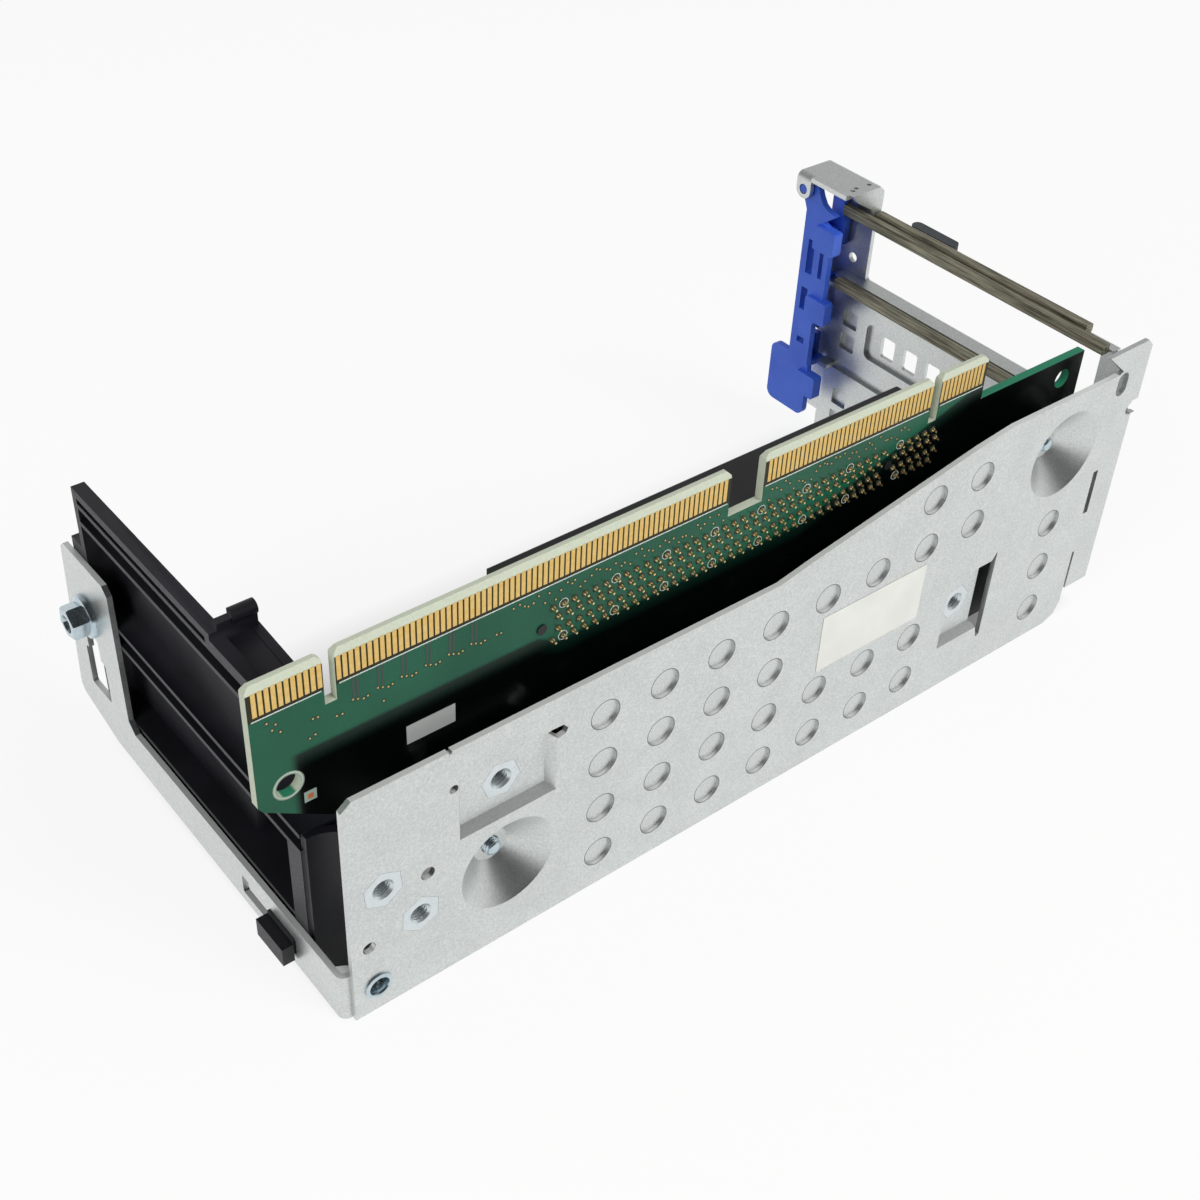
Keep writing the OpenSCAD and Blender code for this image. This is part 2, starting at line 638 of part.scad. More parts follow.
module card_guide() {
    step_y = 29.5;
    panel_x = web_x0 + 3;
    rim_x1 = guide_x0 + rim_w;
    shelf_z = guide_h - 4.8;
    boss_r = 3.2;
    corner_y = y_out + nut_h + 0.3;
    corner_r = guide_y0 - corner_y + 0.5;
    color(moulded) seat() difference() {
        union() {
            // back wall, deeper at its near part
            box([web_x0, step_y - 1.5, guide_z0], [web_x0 + guide_t, guide_y1, shelf_z]);
            box([panel_x, guide_y0, guide_z0], [panel_x + 1.6, step_y, 30]);
            crosswise(panel_x, 1.6) polygon([[3, 29], [step_y, 29], [step_y, guide_h - 2],
                [8, guide_h - 4], [3, guide_h - 6.4]]);
            // fin with its bead at the step of the back wall
            box([web_x0, step_y - 1.5, guide_z0], [panel_x + 1.6, step_y, shelf_z]);
            box([rim_x1 - 1, step_y - 1.5, shelf_z - 1],
                [guide_x0 + 8.2, step_y, guide_h + 1.2]);
            bar_x(step_y - 0.75, guide_h + 1.2, guide_x0 + 4, guide_x0 + 8.2, 1.25, 32);
            // narrow top rim, its upright strip and the shelf that joins it to the back wall
            box([guide_x0, step_y - 1.5, guide_h - 1.5], [rim_x1, guide_y1, guide_h]);
            box([guide_x0, guide_y0 + 8, guide_h - 2.6], [rim_x1, step_y, guide_h - 1.2]);
            box([rim_x1 - 0.9, guide_y0 + 8, shelf_z - 1], [rim_x1, guide_y1, guide_h - 1.3]);
            box([rim_x1 - 0.9, guide_y0 + 8, shelf_z - 1], [panel_x, guide_y1, shelf_z]);
            // channel ribs and upright rims
            for (i = [0:2], s = [-1, 1])
                box([guide_x0, guide_y0, channel_z(i) + s * channel_w / 2 - rib_t / 2],
                    [i == 0 && s > 0 ? rim_x1 : panel_x, guide_y1,
                    channel_z(i) + s * channel_w / 2 + rib_t / 2]);
            box([guide_x0, guide_y1 - 1.5, guide_z0], [web_x0 + guide_t, guide_y1, shelf_z]);
            box([guide_x0, guide_y1 - 1.5, shelf_z - 1], [rim_x1, guide_y1, guide_h]);
            box([guide_x0, guide_y0, guide_z0], [panel_x, guide_y0 + 4, channel_z(1) - channel_w / 2]);
            // block on the far edge and boss for the flange screw
            box([guide_x0, guide_y1 - 0.01, 39.6], [guide_x0 + 3.4, guide_y1 + 3.9, 43.4]);
            bar_x(screw_y, screw_z, guide_x0, web_x0 + guide_t, boss_r);
            box([guide_x0, guide_y1 - 1.5, screw_z - 2], [web_x0 + guide_t, screw_y, screw_z + 2]);
            // snap foot through the strap slot
            box([strap_x - fit_gap - 0.3, 8.9, 3], [guide_x0 + 0.01, 16.6, 6.3]);
            box([5.2, 8.7, 1.6], [strap_x - 0.3, 16.8, 5.4]);
            box([guide_x0, 8.9, 3], [panel_x, 16.6, 6.3]);
            // curved wall that closes the corner behind the side plate
            translate([guide_x0 + 0.5, corner_y, guide_z0]) intersection() {
                difference() {
                    cylinder(r = corner_r, h = 31, $fn = 64);
                    translate([0, 0, -1]) cylinder(r = corner_r - 1.5, h = 34, $fn = 64);
                }
                cube([20, 20, 40]);
            }
        }
        bar_x(screw_y, screw_z, guide_x0 - 1, web_x0 + guide_t + 1,
            flange_screw_r + screw_gap);
        box([web_x0 - 1, 63.2, guide_h - 10.4], [web_x0 + guide_t + 1, 64.3, guide_h - 6.4]);
    }
}

latch_x0 = wall_in - 0.6 - latch_w;
latch_x1 = latch_x0 + latch_w;

// Side view of the latch's front plate: pivot arm, finger notch, plate and paddle
module latch_front() {
    difference() {
        union() {
            translate([axis_y, axis_z]) circle(r = 2, $fn = 48);
            polygon([[axis_y + 1.9, axis_z - 0.6], [latch_y1, axis_z - 5], [latch_y1, 16],
                [72, 16], [72, 30], [69.8, 33], [69.8, 53], [72.6, 54.2], [69.2, 56.9],
                [71.9, 57.4], [73.2, 58.1], [74.2, 59.5], [75.3, 61.8], [76.2, 62.3],
                [axis_y, axis_z + 2]]);
            round_rect([71.5, paddle_z0], [paddle_y1, paddle_z0 + paddle_h], 2);
        }
        translate([74.1, 41.2]) square([1.9, 8]);
        translate([71.2, 41.4]) square([1.1, 6.4]);
        translate([74.5, 32]) square([2, 5.6]);
        translate([73.8, 24.1]) square([2.1, 1.4]);
    }
}

module latch_back() {
    translate([axis_y, axis_z]) circle(r = 2, $fn = 48);
    polygon([[latch_y1, 51.5], [latch_y1, 18], [75.4, 18], [75.4, 46], [71.4, 48], [71.4, 53],
        [72.5, 55], [72.6, 59], [74, 62.1], [axis_y, axis_z + 2], [axis_y + 1, axis_z - 1.6],
        [75.9, 58.4], [75.9, 52.8]]);
}

module retention_latch() {
    color("#4A66B8") seat() difference() {
        union() {
            crosswise(latch_x0, latch_t) latch_front();
            crosswise(latch_x1 - latch_t, latch_t) latch_back();
            // spine, cross walls and hooks
            box([latch_x0, latch_y1 - latch_t, 17], [latch_x1, latch_y1, 52.4]);
            for (z = [18, 31, 39, 50]) box([latch_x0, 73, z], [latch_x1 - 0.5, latch_y1, z + 1.2]);
            for (h = [[48.1, 53.6, 67.9], [31.4, 36.8, 67.9], [12.6, 18, 68.2]]) {
                crosswise(latch_x0 - hook_reach, hook_reach + latch_t)
                    round_rect([h[2], h[0]], [74, h[1]], 0.6);
            }
            // moulded pivots
            bar_x(axis_y, axis_z, latch_x0 - 1.6, latch_x0 + 0.5, pivot_r, 32);
            bar_x(axis_y, axis_z, latch_x1 - 0.5, wall_out - 0.2, pivot_r, 32);
        }
        box([latch_x0 + latch_t, 73.8, 24.1], [latch_x1 + 1, latch_y1 + 1, 25.5]);
    }
}

module clinch_nuts() {
    color(zinc) seat() for (n = NUTS) translate([n[0], y_out + n[2], n[1]])
        rotate([-90, 0, 0]) difference() {
            rotate(-n[3]) cylinder(r = nut_af / sqrt(3), h = nut_h, $fn = 6);
            translate([0, 0, -1]) cylinder(r = nut_bore_r, h = nut_h + 2, $fn = 48);
        }
}

module board_screws() {
    color(zinc) seat() for (c = CONES) {
        bar_y(c[0], c[1], y_out + 3.4, board_t + 0.5, board_screw_r);
        bar_y(c[0], c[1], board_t, board_t + 2, 2.9);
    }
}

module flange_screw() {
    color(zinc) seat() {
        bar_x(screw_y, screw_z, strap_x - 1, strap_x, 4.1);
        bar_x(screw_y, screw_z, strap_x - 4.1, strap_x - 0.9, 3.1, 6);
        bar_x(screw_y, screw_z, strap_x - 0.5, web_x0 + guide_t, flange_screw_r);
    }
}

module eyelet() {
    color(zinc) seat() difference() {
        union() {
            bar_y(eyelet_x, eyelet_z, y_out - proud_h, y_out, 2.5);
            bar_y(eyelet_x, eyelet_z, y_out - 0.1, y_lap + 0.4, eyelet_r);
            bar_y(eyelet_x, eyelet_z, y_lap, y_lap + 0.4, 2.4);
        }
        bar_y(eyelet_x, eyelet_z, y_out - 2, y_lap + 2, 1.5);
    }
}

module plate_label() {
    color("#E9EAE4") seat() box([105, y_out - label_t, 22.5], [130.6, y_out, 34.7]);
}

module board_sticker() {
    color("#C9CCC8") seat() box([24.4, -label_t, tip_h - 23.6],
        [32.9, 0, tip_h - 20.1]);
}

side_plate();
end_strap();
rear_panel();
filler_bracket_middle();
filler_bracket_lower();
gasket_top_outer();
gasket_top_inner();
gasket_middle();
outer_pad();
riser_board();
edge_contacts();
slot_connector_top();
slot_connector_middle();
slot_connector_bottom();
card_guide();
retention_latch();
clinch_nuts();
board_screws();
flange_screw();
eyelet();
plate_label();
board_sticker();
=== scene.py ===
# %% [markdown]
# # Dressing a riser cage
# A riser cage is a small sheet-metal frame from a server. It holds a circuit board upright, so that
# expansion cards can lie flat. The solids come finished from the CAD model, so this lesson gives
# them their finishes, adds the fine pieces that a solid model leaves out, and lights the result.

import math
import random

import bmesh
import bpy
from mathutils import Matrix, Vector


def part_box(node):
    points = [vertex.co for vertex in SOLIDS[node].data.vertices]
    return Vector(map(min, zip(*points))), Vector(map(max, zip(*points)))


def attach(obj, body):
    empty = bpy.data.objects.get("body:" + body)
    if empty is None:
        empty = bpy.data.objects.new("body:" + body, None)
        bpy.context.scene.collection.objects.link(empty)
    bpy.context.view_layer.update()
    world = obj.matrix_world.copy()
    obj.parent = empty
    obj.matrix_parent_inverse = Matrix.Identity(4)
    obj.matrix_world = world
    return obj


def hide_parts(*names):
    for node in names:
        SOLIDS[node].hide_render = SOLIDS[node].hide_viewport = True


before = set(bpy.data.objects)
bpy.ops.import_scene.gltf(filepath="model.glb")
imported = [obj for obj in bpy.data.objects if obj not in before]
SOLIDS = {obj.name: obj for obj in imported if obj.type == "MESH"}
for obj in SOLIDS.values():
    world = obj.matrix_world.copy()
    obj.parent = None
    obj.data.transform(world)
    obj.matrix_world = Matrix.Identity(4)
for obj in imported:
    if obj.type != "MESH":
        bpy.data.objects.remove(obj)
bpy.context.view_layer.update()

# %% [markdown]
# ## Where things are
# Every small piece on the board is placed from the board's own lower left corner and its contact
# tips, so one helper turns board millimetres into scene metres. It reads the corner from the solid.

# %% Board coordinates
MM = 0.001
BOARD_LOW, BOARD_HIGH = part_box("riser_board")
FACE_Y = BOARD_LOW[1]
TIP_Z = BOARD_HIGH[2]


def at(x, depth, drop):
    """A point x mm from the board's left edge, depth mm behind its face, drop mm below its tips."""
    return Vector((BOARD_LOW[0] + x * MM, FACE_Y + depth * MM, TIP_Z - drop * MM))


print("board face at y =", round(FACE_Y * 1000, 2), "mm, tips at z =", round(TIP_Z * 1000, 2), "mm")

# %% [markdown]
# ## Camera
# The camera stands about 32 cm from the cage's middle, above its left front corner, and rolls by
# about two and a half degrees. A rotation built from its right, up and back directions says this
# more directly than three angles.

# %% Camera
camera = bpy.data.objects.new("camera", bpy.data.cameras.new("camera"))
bpy.context.scene.collection.objects.link(camera)
right = Vector((0.77905, -0.62550, 0.04287))
back = Vector((-0.50513, -0.58568, 0.63389))
up = back.cross(right)
turn = Matrix((right, up, back)).transposed().to_4x4()
camera.matrix_world = Matrix.Translation(at(-72.3, -154.6, -153.2)) @ turn
camera.data.lens = 52.02
camera.data.sensor_width = 36
camera.data.shift_x = -0.0055
camera.data.clip_start = 0.01
bpy.context.scene.camera = camera
print("camera at", [round(v, 3) for v in camera.location])

# %% [markdown]
# ## Nodes by one helper
# A material is a small graph. One function adds a node, sets its properties and plugs its inputs,
# so each finish below reads like a list. The same function serves the Geometry Nodes later on.
# Colours are written as sRGB hex, as a paint card gives them, and turned to linear once.

# %% Material helpers
def colour(code):
    """An sRGB hex colour as linear RGBA."""
    parts = [int(code[i:i + 2], 16) / 255 for i in (1, 3, 5)]
    return [c / 12.92 if c <= 0.04045 else ((c + 0.055) / 1.055) ** 2.4 for c in parts] + [1.0]


def add(tree, kind, settings=None, **inputs):
    """Adds a node. A key of inputs is a socket's name or n0, n1... for its number."""
    made = tree.nodes.new(kind)
    for key, value in (settings or {}).items():
        setattr(made, key, value)
    for key, value in inputs.items():
        which = int(key[1:]) if key[1:].isdigit() else key.replace("_", " ")
        socket = made.inputs[which]
        if isinstance(value, bpy.types.NodeSocket):
            tree.links.new(value, socket)
        else:
            socket.default_value = value
    return made


def start(name):
    """A new material with an empty graph, its output node and its object coordinates."""
    material = bpy.data.materials.new(name)
    material.use_nodes = True
    tree = material.node_tree
    tree.nodes.clear()
    place = add(tree, "ShaderNodeTexCoord").outputs["Object"]
    return material, tree, place


def close(tree, shader):
    """Sends the finished shader to the material's output."""
    add(tree, "ShaderNodeOutputMaterial", n0=shader.outputs[0])


def ramp(tree, fac, low, high, a, b):
    """Goes from value a to value b while fac goes from low to high."""
    return add(tree, "ShaderNodeMapRange", {"clamp": True}, n0=fac, n1=low, n2=high, n3=a,
               n4=b).outputs[0]


def blend(tree, fac, a, b):
    """Mixes two colours."""
    return add(tree, "ShaderNodeMix", {"data_type": "RGBA"}, n0=fac, n6=a, n7=b).outputs[2]


def noise(tree, place, size, detail=2.0, rough=0.5):
    """Noise whose blobs are about size metres across."""
    return add(tree, "ShaderNodeTexNoise", None, Vector=place, Scale=1.0 / size, Detail=detail,
               Roughness=rough).outputs[0]


def bump(tree, height, depth, strength=1.0):
    """Tilts the surface by a height pattern that is depth metres deep."""
    return add(tree, "ShaderNodeBump", None, Height=height, Distance=depth,
               Strength=strength).outputs[0]


# %% [markdown]
# ## Galvanised sheet
# The sheets are hot-dip galvanised steel: a pale, satin zinc skin with fine spangle. It is bare
# metal, so it shows a blurred picture of what stands around it, and every bend or dimple that faces
# another way changes tone. Two noises give the cloudy patches and the fine grain, which is drawn as
# coarse as it needs to show. Where cut edges show, faces that look up get a painted highlight, a
# paler and less metallic tone, and faces that look down get a painted shade.

# %% Galvanised sheet
CLOUD_SIZE, GRAIN_SIZE, GRAIN_DEPTH = 7 * MM, 0.4 * MM, 0.010 * MM


def galvanised(name, lit_edges):
    """If set, up-facing faces get a painted highlight and down-facing faces a painted shade."""
    material, tree, place = start(name)
    cloud = noise(tree, place, CLOUD_SIZE, 3.0)
    grain = noise(tree, place, GRAIN_SIZE, 2.0, 0.7)
    tone = blend(tree, ramp(tree, cloud, 0.35, 0.65, 0, 1), colour("#D7DBDA"), colour("#E0E4E2"))
    tone = blend(tree, ramp(tree, grain, 0.30, 0.65, 0.30, 0.0), tone, colour("#8F9493"))
    tone = blend(tree, ramp(tree, grain, 0.55, 0.80, 0.0, 0.40), tone, colour("#EDF0EF"))
    metal = 0.92
    # Painted light on the cut edges, which look straight up or down: painted highlight up, painted
    # shade down.
    if lit_edges:
        facing = add(tree, "ShaderNodeSeparateXYZ", None,
                     n0=add(tree, "ShaderNodeNewGeometry").outputs["True Normal"]).outputs[2]
        metal = ramp(tree, facing, 0.75, 0.95, metal, 0.35)
        tone = blend(tree, ramp(tree, facing, 0.75, 0.95, 0, 0.8), tone, colour("#F0F2F0"))
        tone = blend(tree, ramp(tree, facing, -0.95, -0.75, 0.6, 0), tone, colour("#77716C"))
    shader = add(tree, "ShaderNodeBsdfPrincipled", None, Base_Color=tone, Metallic=metal,
                 Roughness=ramp(tree, cloud, 0.3, 0.7, 0.34, 0.42),
                 Normal=bump(tree, grain, GRAIN_DEPTH, 0.5))
    close(tree, shader)
    return material


SHEET = galvanised("galvanised_steel", False)
SHEET_WITH_PAINTED_EDGES = galvanised("galvanised_steel_edge_highlight_and_shade", True)
print("made", SHEET.name, "and", SHEET_WITH_PAINTED_EDGES.name)

# %% [markdown]
# ## Zinc-plated fasteners
# Screws, nuts and the eyelet are bright zinc plated with a clear blue passivation. They are real
# metal to the eye: smooth and a little bluish. The clinch nuts are plated clear and look paler.

# %% Zinc plate
def zinc_plate(name, dark, light, metal, smooth):
    """smooth is the roughness of its shiniest spots."""
    material, tree, place = start(name)
    cloud = noise(tree, place, 1.2 * MM, 2.0)
    tone = blend(tree, cloud, colour(dark), colour(light))
    shader = add(tree, "ShaderNodeBsdfPrincipled", None, Base_Color=tone, Metallic=metal,
                 Roughness=ramp(tree, cloud, 0.3, 0.7, smooth, smooth + 0.1))
    close(tree, shader)
    return material


ZINC = zinc_plate("zinc_plate_blue_passivated", "#A9BCC6", "#D3DFE4", 0.94, 0.16)
NUT_ZINC = zinc_plate("zinc_plate_clear", "#C8D2D6", "#E3E9EB", 0.8, 0.26)
print("made", ZINC.name, "and", NUT_ZINC.name)

# %% [markdown]
# ## Moulded plastics
# The latch is blue polycarbonate blend, the guide a black glass-filled grade with a dull, finely
# eroded skin, and the card sockets are liquid-crystal polymer, which moulds to a smoother, darker
# finish. One function serves all three, because only colour, grain size and gloss differ.

# %% Moulded plastic
def moulded(name, dark, light, grain_mm, rough, depth_mm):
    """A plastic of two near tones with an eroded skin of that grain and depth."""
    material, tree, place = start(name)
    grain = noise(tree, place, grain_mm * MM, 3.0, 0.6)
    flow = noise(tree, place, 9 * MM, 2.0)
    tone = blend(tree, ramp(tree, flow, 0.3, 0.7, 0, 1), colour(dark), colour(light))
    shader = add(tree, "ShaderNodeBsdfPrincipled", None, Base_Color=tone, IOR=1.5,
                 Specular_IOR_Level=0.35,
                 Roughness=ramp(tree, grain, 0.3, 0.7, rough - 0.05, rough + 0.07),
                 Normal=bump(tree, grain, depth_mm * MM, 0.6))
    close(tree, shader)
    return material


LATCH_BLUE = moulded("blue_polycarbonate", "#3A60D2", "#466FE0", 0.5, 0.34, 0.006)
GUIDE_BLACK = moulded("black_glass_filled_nylon", "#1B1B1F", "#24242A", 0.35, 0.45, 0.02)
SOCKET_BLACK = moulded("black_liquid_crystal_polymer", "#151517", "#1C1C20", 0.4, 0.38, 0.008)
print("made", LATCH_BLUE.name, GUIDE_BLACK.name, SOCKET_BLACK.name)

# %% [markdown]
# ## Solder mask, bare laminate and gold
# The board is glass-epoxy laminate under glossy green solder mask. Below the top socket and towards
# the board's far end, along a line that follows the side plate's top edge, the mask carries a
# painted
# shade that fades to almost black: the plate's shade on the board and the bright floor that the
# plate hides from the glossy mask. The milled edges by the contacts and the bevel at their tips are
# bare, pale laminate, the other edges are overrun by mask, and the strip between the contacts has
# no mask. The graph chooses by height, by length and by the way a face looks. Its named sizes are
# drops below the contact tips and distances along the board, in mm.

# %% Circuit board
BEVEL_DROP, MASK_DROP, SHADE_DROP, MILLED_DROP = 1.3, 6.1, 15.0, 22.0
SHADE_STEP, SHADE_SLOPE = (48, 52, 2.2), (102, 143, -11.8)
LAST_MILLED_X, SHADE_LEFT = 144.8, (5.5, 6.8)


def circuit_board():
    material, tree, place = start("green_solder_mask_on_laminate")
    along, _, height = add(tree, "ShaderNodeSeparateXYZ", None, n0=place).outputs
    facing = add(tree, "ShaderNodeSeparateXYZ", None,
                 n0=add(tree, "ShaderNodeNewGeometry").outputs["True Normal"]).outputs[1]
    flat = add(tree, "ShaderNodeMath", {"operation": "ABSOLUTE"}, n0=facing).outputs[0]

    def by_drop(value, high, low, a, b):
        """Goes from a at the drop low to b at the drop high, which lies nearer to the tips."""
        return ramp(tree, value, TIP_Z - low * MM, TIP_Z - high * MM, a, b)

    def by_length(first, last, a, b):
        """Goes from a to b between two distances from the board's left edge."""
        return ramp(tree, along, BOARD_LOW[0] + first * MM, BOARD_LOW[0] + last * MM, a, b)

    plane = noise(tree, place, 14 * MM, 1.0)
    grain = noise(tree, place, 0.25 * MM, 2.0)
    mask = blend(tree, ramp(tree, plane, 0.35, 0.65, 0, 1), colour("#145039"), colour("#195A42"))
    mask = blend(tree, ramp(tree, grain, 0.35, 0.7, 0, 0.3), mask, colour("#0F3529"))
    # Painted shade: below a line that steps and slopes with the side plate's top edge, the mask
    # darkens to almost black.
    level = height
    for first, last, rise in (SHADE_STEP, SHADE_SLOPE):
        level = add(tree, "ShaderNodeMath", {"operation": "ADD"}, n0=level,
                    n1=by_length(first, last, 0, rise * MM)).outputs[0]
    shade = add(tree, "ShaderNodeMath", {"operation": "MULTIPLY"},
                n0=by_drop(level, SHADE_DROP, SHADE_DROP + 0.7, 1, 0),
                n1=by_length(*SHADE_LEFT, 0, 1)).outputs[0]
    deep = blend(tree, by_drop(level, SHADE_DROP + 0.3, SHADE_DROP + 3.5, 0, 1),
                 colour("#020504"), colour("#08221A"))
    mask = blend(tree, shade, mask, deep)
    bare = blend(tree, noise(tree, place, 0.4 * MM), colour("#B9C0AC"), colour("#CBD1BF"))
    gap = colour("#23240F")
    overrun = colour("#2C7F60")
    tone = blend(tree, by_drop(height, MASK_DROP, MASK_DROP + 0.05, 0, 1), mask, gap)
    tone = blend(tree, by_drop(height, BEVEL_DROP - 0.05, BEVEL_DROP + 0.05, 0, 1), tone, bare)
    cut = add(tree, "ShaderNodeMath", {"operation": "MULTIPLY"},
              n0=by_drop(height, MILLED_DROP, MILLED_DROP + 0.2, 0, 1),
              n1=by_length(LAST_MILLED_X, LAST_MILLED_X + 0.1, 1, 0)).outputs[0]
    edge = blend(tree, cut, overrun, bare)
    tone = blend(tree, ramp(tree, flat, 0.25, 0.35, 1, 0), tone, edge)
    rough = ramp(tree, flat, 0.25, 0.35, 0.55, 0.2)
    shader = add(tree, "ShaderNodeBsdfPrincipled", None, Base_Color=tone, IOR=1.5, Roughness=rough,
                 Specular_IOR_Level=0.18, Normal=bump(tree, grain, 0.004 * MM, 0.3))
    close(tree, shader)
    return material


BOARD = circuit_board()
print("made", BOARD.name)

# %% [markdown]
# ## Gold
# The contacts are hard gold over nickel. Every insertion rubs them, so their shine is uneven at a
# scale of about a millimetre. Gold is a metal, and its colour does all the work: a yellow tone
# with a fairly low roughness.

# %% Gold
def gold_plate():
    material, tree, place = start("gold_over_nickel")
    rub = noise(tree, place, 0.8 * MM, 3.0)
    tone = blend(tree, ramp(tree, rub, 0.35, 0.7, 0, 1), colour("#E0B868"), colour("#E9CB85"))
    shader = add(tree, "ShaderNodeBsdfPrincipled", None, Base_Color=tone, Metallic=0.85,
                 Roughness=ramp(tree, rub, 0.3, 0.7, 0.28, 0.42))
    close(tree, shader)
    return material


GOLD = gold_plate()
print("made", GOLD.name)

# %% [markdown]
# ## Gasket, rubber and paper
# The gaskets are foam strips wrapped in metallised fabric, which stretches into fine streaks along
# the strip. The outer pad is plain rubber, and the labels are matt paper, both left blank.

# %% Soft finishes
def gasket_fabric():
    material, tree, place = start("metallised_gasket_fabric")
    along = add(tree, "ShaderNodeMapping", None, Vector=place, Scale=(1, 0.03, 1)).outputs[0]
    streak = noise(tree, along, 0.45 * MM, 3.0, 0.75)
    tone = blend(tree, ramp(tree, streak, 0.38, 0.62, 0, 1), colour("#4E4B3E"), colour("#A19E88"))
    rub = noise(tree, place, 6 * MM, 2.0)
    tone = blend(tree, ramp(tree, rub, 0.5, 0.75, 0, 0.45), tone, colour("#8D7A68"))
    shader = add(tree, "ShaderNodeBsdfPrincipled", None, Base_Color=tone, Metallic=0.35,
                 Roughness=0.5, Normal=bump(tree, streak, 0.08 * MM, 0.8))
    close(tree, shader)
    return material


GASKET = gasket_fabric()
RUBBER = moulded("grey_black_rubber", "#3E4245", "#4A4E51", 0.6, 0.6, 0.02)
PAPER = moulded("matt_label_paper", "#DCDDD7", "#E4E5DF", 0.3, 0.7, 0.01)
LABEL_GREY = moulded("grey_label_film", "#9EA19F", "#A8ABA9", 0.3, 0.6, 0.01)
print("made", GASKET.name, RUBBER.name, PAPER.name)

# %% [markdown]
# ## Finishes on the solids
# Each solid takes one finish, by name, so a table says it best. The side plate and the strap get
# the sheet whose cut edges carry a painted highlight where they look up and a painted shade where
# they look down.

# %% Finishes on the solids
FINISH = {
    "side_plate": SHEET_WITH_PAINTED_EDGES, "end_strap": SHEET_WITH_PAINTED_EDGES, "rear_panel": SHEET,
    "filler_bracket_middle": SHEET, "filler_bracket_lower": SHEET,
    "gasket_top_outer": GASKET, "gasket_top_inner": GASKET, "gasket_middle": GASKET,
    "outer_pad": RUBBER, "riser_board": BOARD, "edge_contacts": GOLD,
    "slot_connector_top": SOCKET_BLACK, "slot_connector_middle": SOCKET_BLACK,
    "slot_connector_bottom": SOCKET_BLACK, "card_guide": GUIDE_BLACK,
    "retention_latch": LATCH_BLUE, "clinch_nuts": ZINC, "board_screws": ZINC,
    "flange_screw": ZINC, "eyelet": ZINC, "plate_label": PAPER, "board_sticker": LABEL_GREY,
}
for name, node in SOLIDS.items():
    node.data.materials.clear()
    node.data.materials.append(FINISH[name])
print("finished", len(FINISH), "solids")

# %% [markdown]
# ## From a mesh to a piece
# Whatever builds a mesh, the last steps are the same: give it a material, make it an object at the
# origin and keep its creases. Creases are the edges that turn by more than 35 degrees.

# %% Pieces
CREASE = math.radians(35)


def piece_of(name, mesh, material):
    """Turns a bmesh into an object of one material, and frees the bmesh."""
    data = bpy.data.meshes.new(name)
    mesh.to_mesh(data)
    mesh.free()
    data.materials.append(material)
    made = bpy.data.objects.new(name, data)
    bpy.context.scene.collection.objects.link(made)
    return made


def join(name, parts):
    """Joins finished pieces into one object."""
    mesh = bmesh.new()
    for part in parts:
        mesh.from_mesh(part.data)
    made = piece_of(name, mesh, parts[0].data.materials[0])
    for part in parts:
        bpy.data.objects.remove(part)
    made.data.set_sharp_from_angle(angle=CREASE)
    return made


def welded(solid):
    """A bmesh of a solid whose faces share their corners, so it can be cut or taken apart."""
    mesh = bmesh.new()
    mesh.from_mesh(solid.data)
    bmesh.ops.remove_doubles(mesh, verts=mesh.verts, dist=1e-6)
    return mesh


# %% [markdown]
# ## Closed shapes from rings
# Fasteners are turned or headed parts, so each one is a stack of rings joined into a skin. A ring
# can be round, hexagonal or a turn of thread, which is why one function makes them all.

# %% Ring skins
def skin(name, rings, material, loop=False):
    """A closed mesh through rings of equal length. loop joins the last ring to the first."""
    mesh = bmesh.new()
    rows = [[mesh.verts.new(p) for p in ring] for ring in rings]
    pairs = list(zip(rows, rows[1:])) + ([(rows[-1], rows[0])] if loop else [])
    count = len(rows[0])
    for low, high in pairs:
        for i in range(count):
            j = (i + 1) % count
            mesh.faces.new((low[i], low[j], high[j], high[i]))
    if not loop:
        mesh.faces.new(rows[0])
        mesh.faces.new(rows[-1])
    bmesh.ops.recalc_face_normals(mesh, faces=mesh.faces)
    made = piece_of(name, mesh, material)
    for face in made.data.polygons:
        face.use_smooth = True
    made.data.set_sharp_from_angle(angle=CREASE)
    return made


def ring(centre, axis, radius, along, count=48, first=0.0):
    """Points around axis ("x" or "y"), along metres past centre.

    radius is in metres, or a function that gives it by angle. The points turn by less than one
    step so that one falls at angle first, as on a corner.
    """
    points = []
    step = 2 * math.pi / count
    for i in range(count):
        a = first % step + step * i
        r = radius(a) if callable(radius) else radius
        u, v = r * math.cos(a), r * math.sin(a)
        offset = (along, u, v) if axis == "x" else (u, along, v)
        points.append(Vector(centre) + Vector(offset))
    return points


def hexagon(flat, corner):
    """Radius by angle of a hexagon, from its distance to a flat and the angle of a corner."""
    return lambda a: flat / math.cos((a - corner) % (math.pi / 3) - math.pi / 6)


# %% [markdown]
# ## Riding on the cage
# Only the lever moves, and it is a finished solid, so every piece made here rides on the cage. One
# function says so and hides the solid that it stands for.

# %% Ride on the cage
def seat(piece, slot, *nodes):
    """The piece rides on the cage and may stand for CAD nodes; slot is not used."""
    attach(piece, "cage")
    if nodes:
        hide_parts(*nodes)
    print(piece.name, len(piece.data.polygons), "faces")


# %% [markdown]
# ## Soldered pins
# Each card socket is held by four staggered rows of pins. On the back of the board every pin ends
# in a small cone of solder. Hundreds of equal joints are a task for Geometry Nodes: a cloud of
# points gives the places, and the tree puts one joint on each.

# %% Pin places
OUTER_ROWS, INNER_ROWS = (-3.15, 3.15), (-1.2, 1.2)
FIRST_PIN, PIN_PITCH, PINS, PINS_BEFORE_KEY, KEY = 50.7, 1.0, 82, 71, 2.0
SOCKETS = ["slot_connector_top", "slot_connector_middle", "slot_connector_bottom"]


def middle_drop(name):
    """How far the middle of a solid lies below the contact tips, in mm."""
    low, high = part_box(name)
    return (TIP_Z - (low[2] + high[2]) / 2) / MM


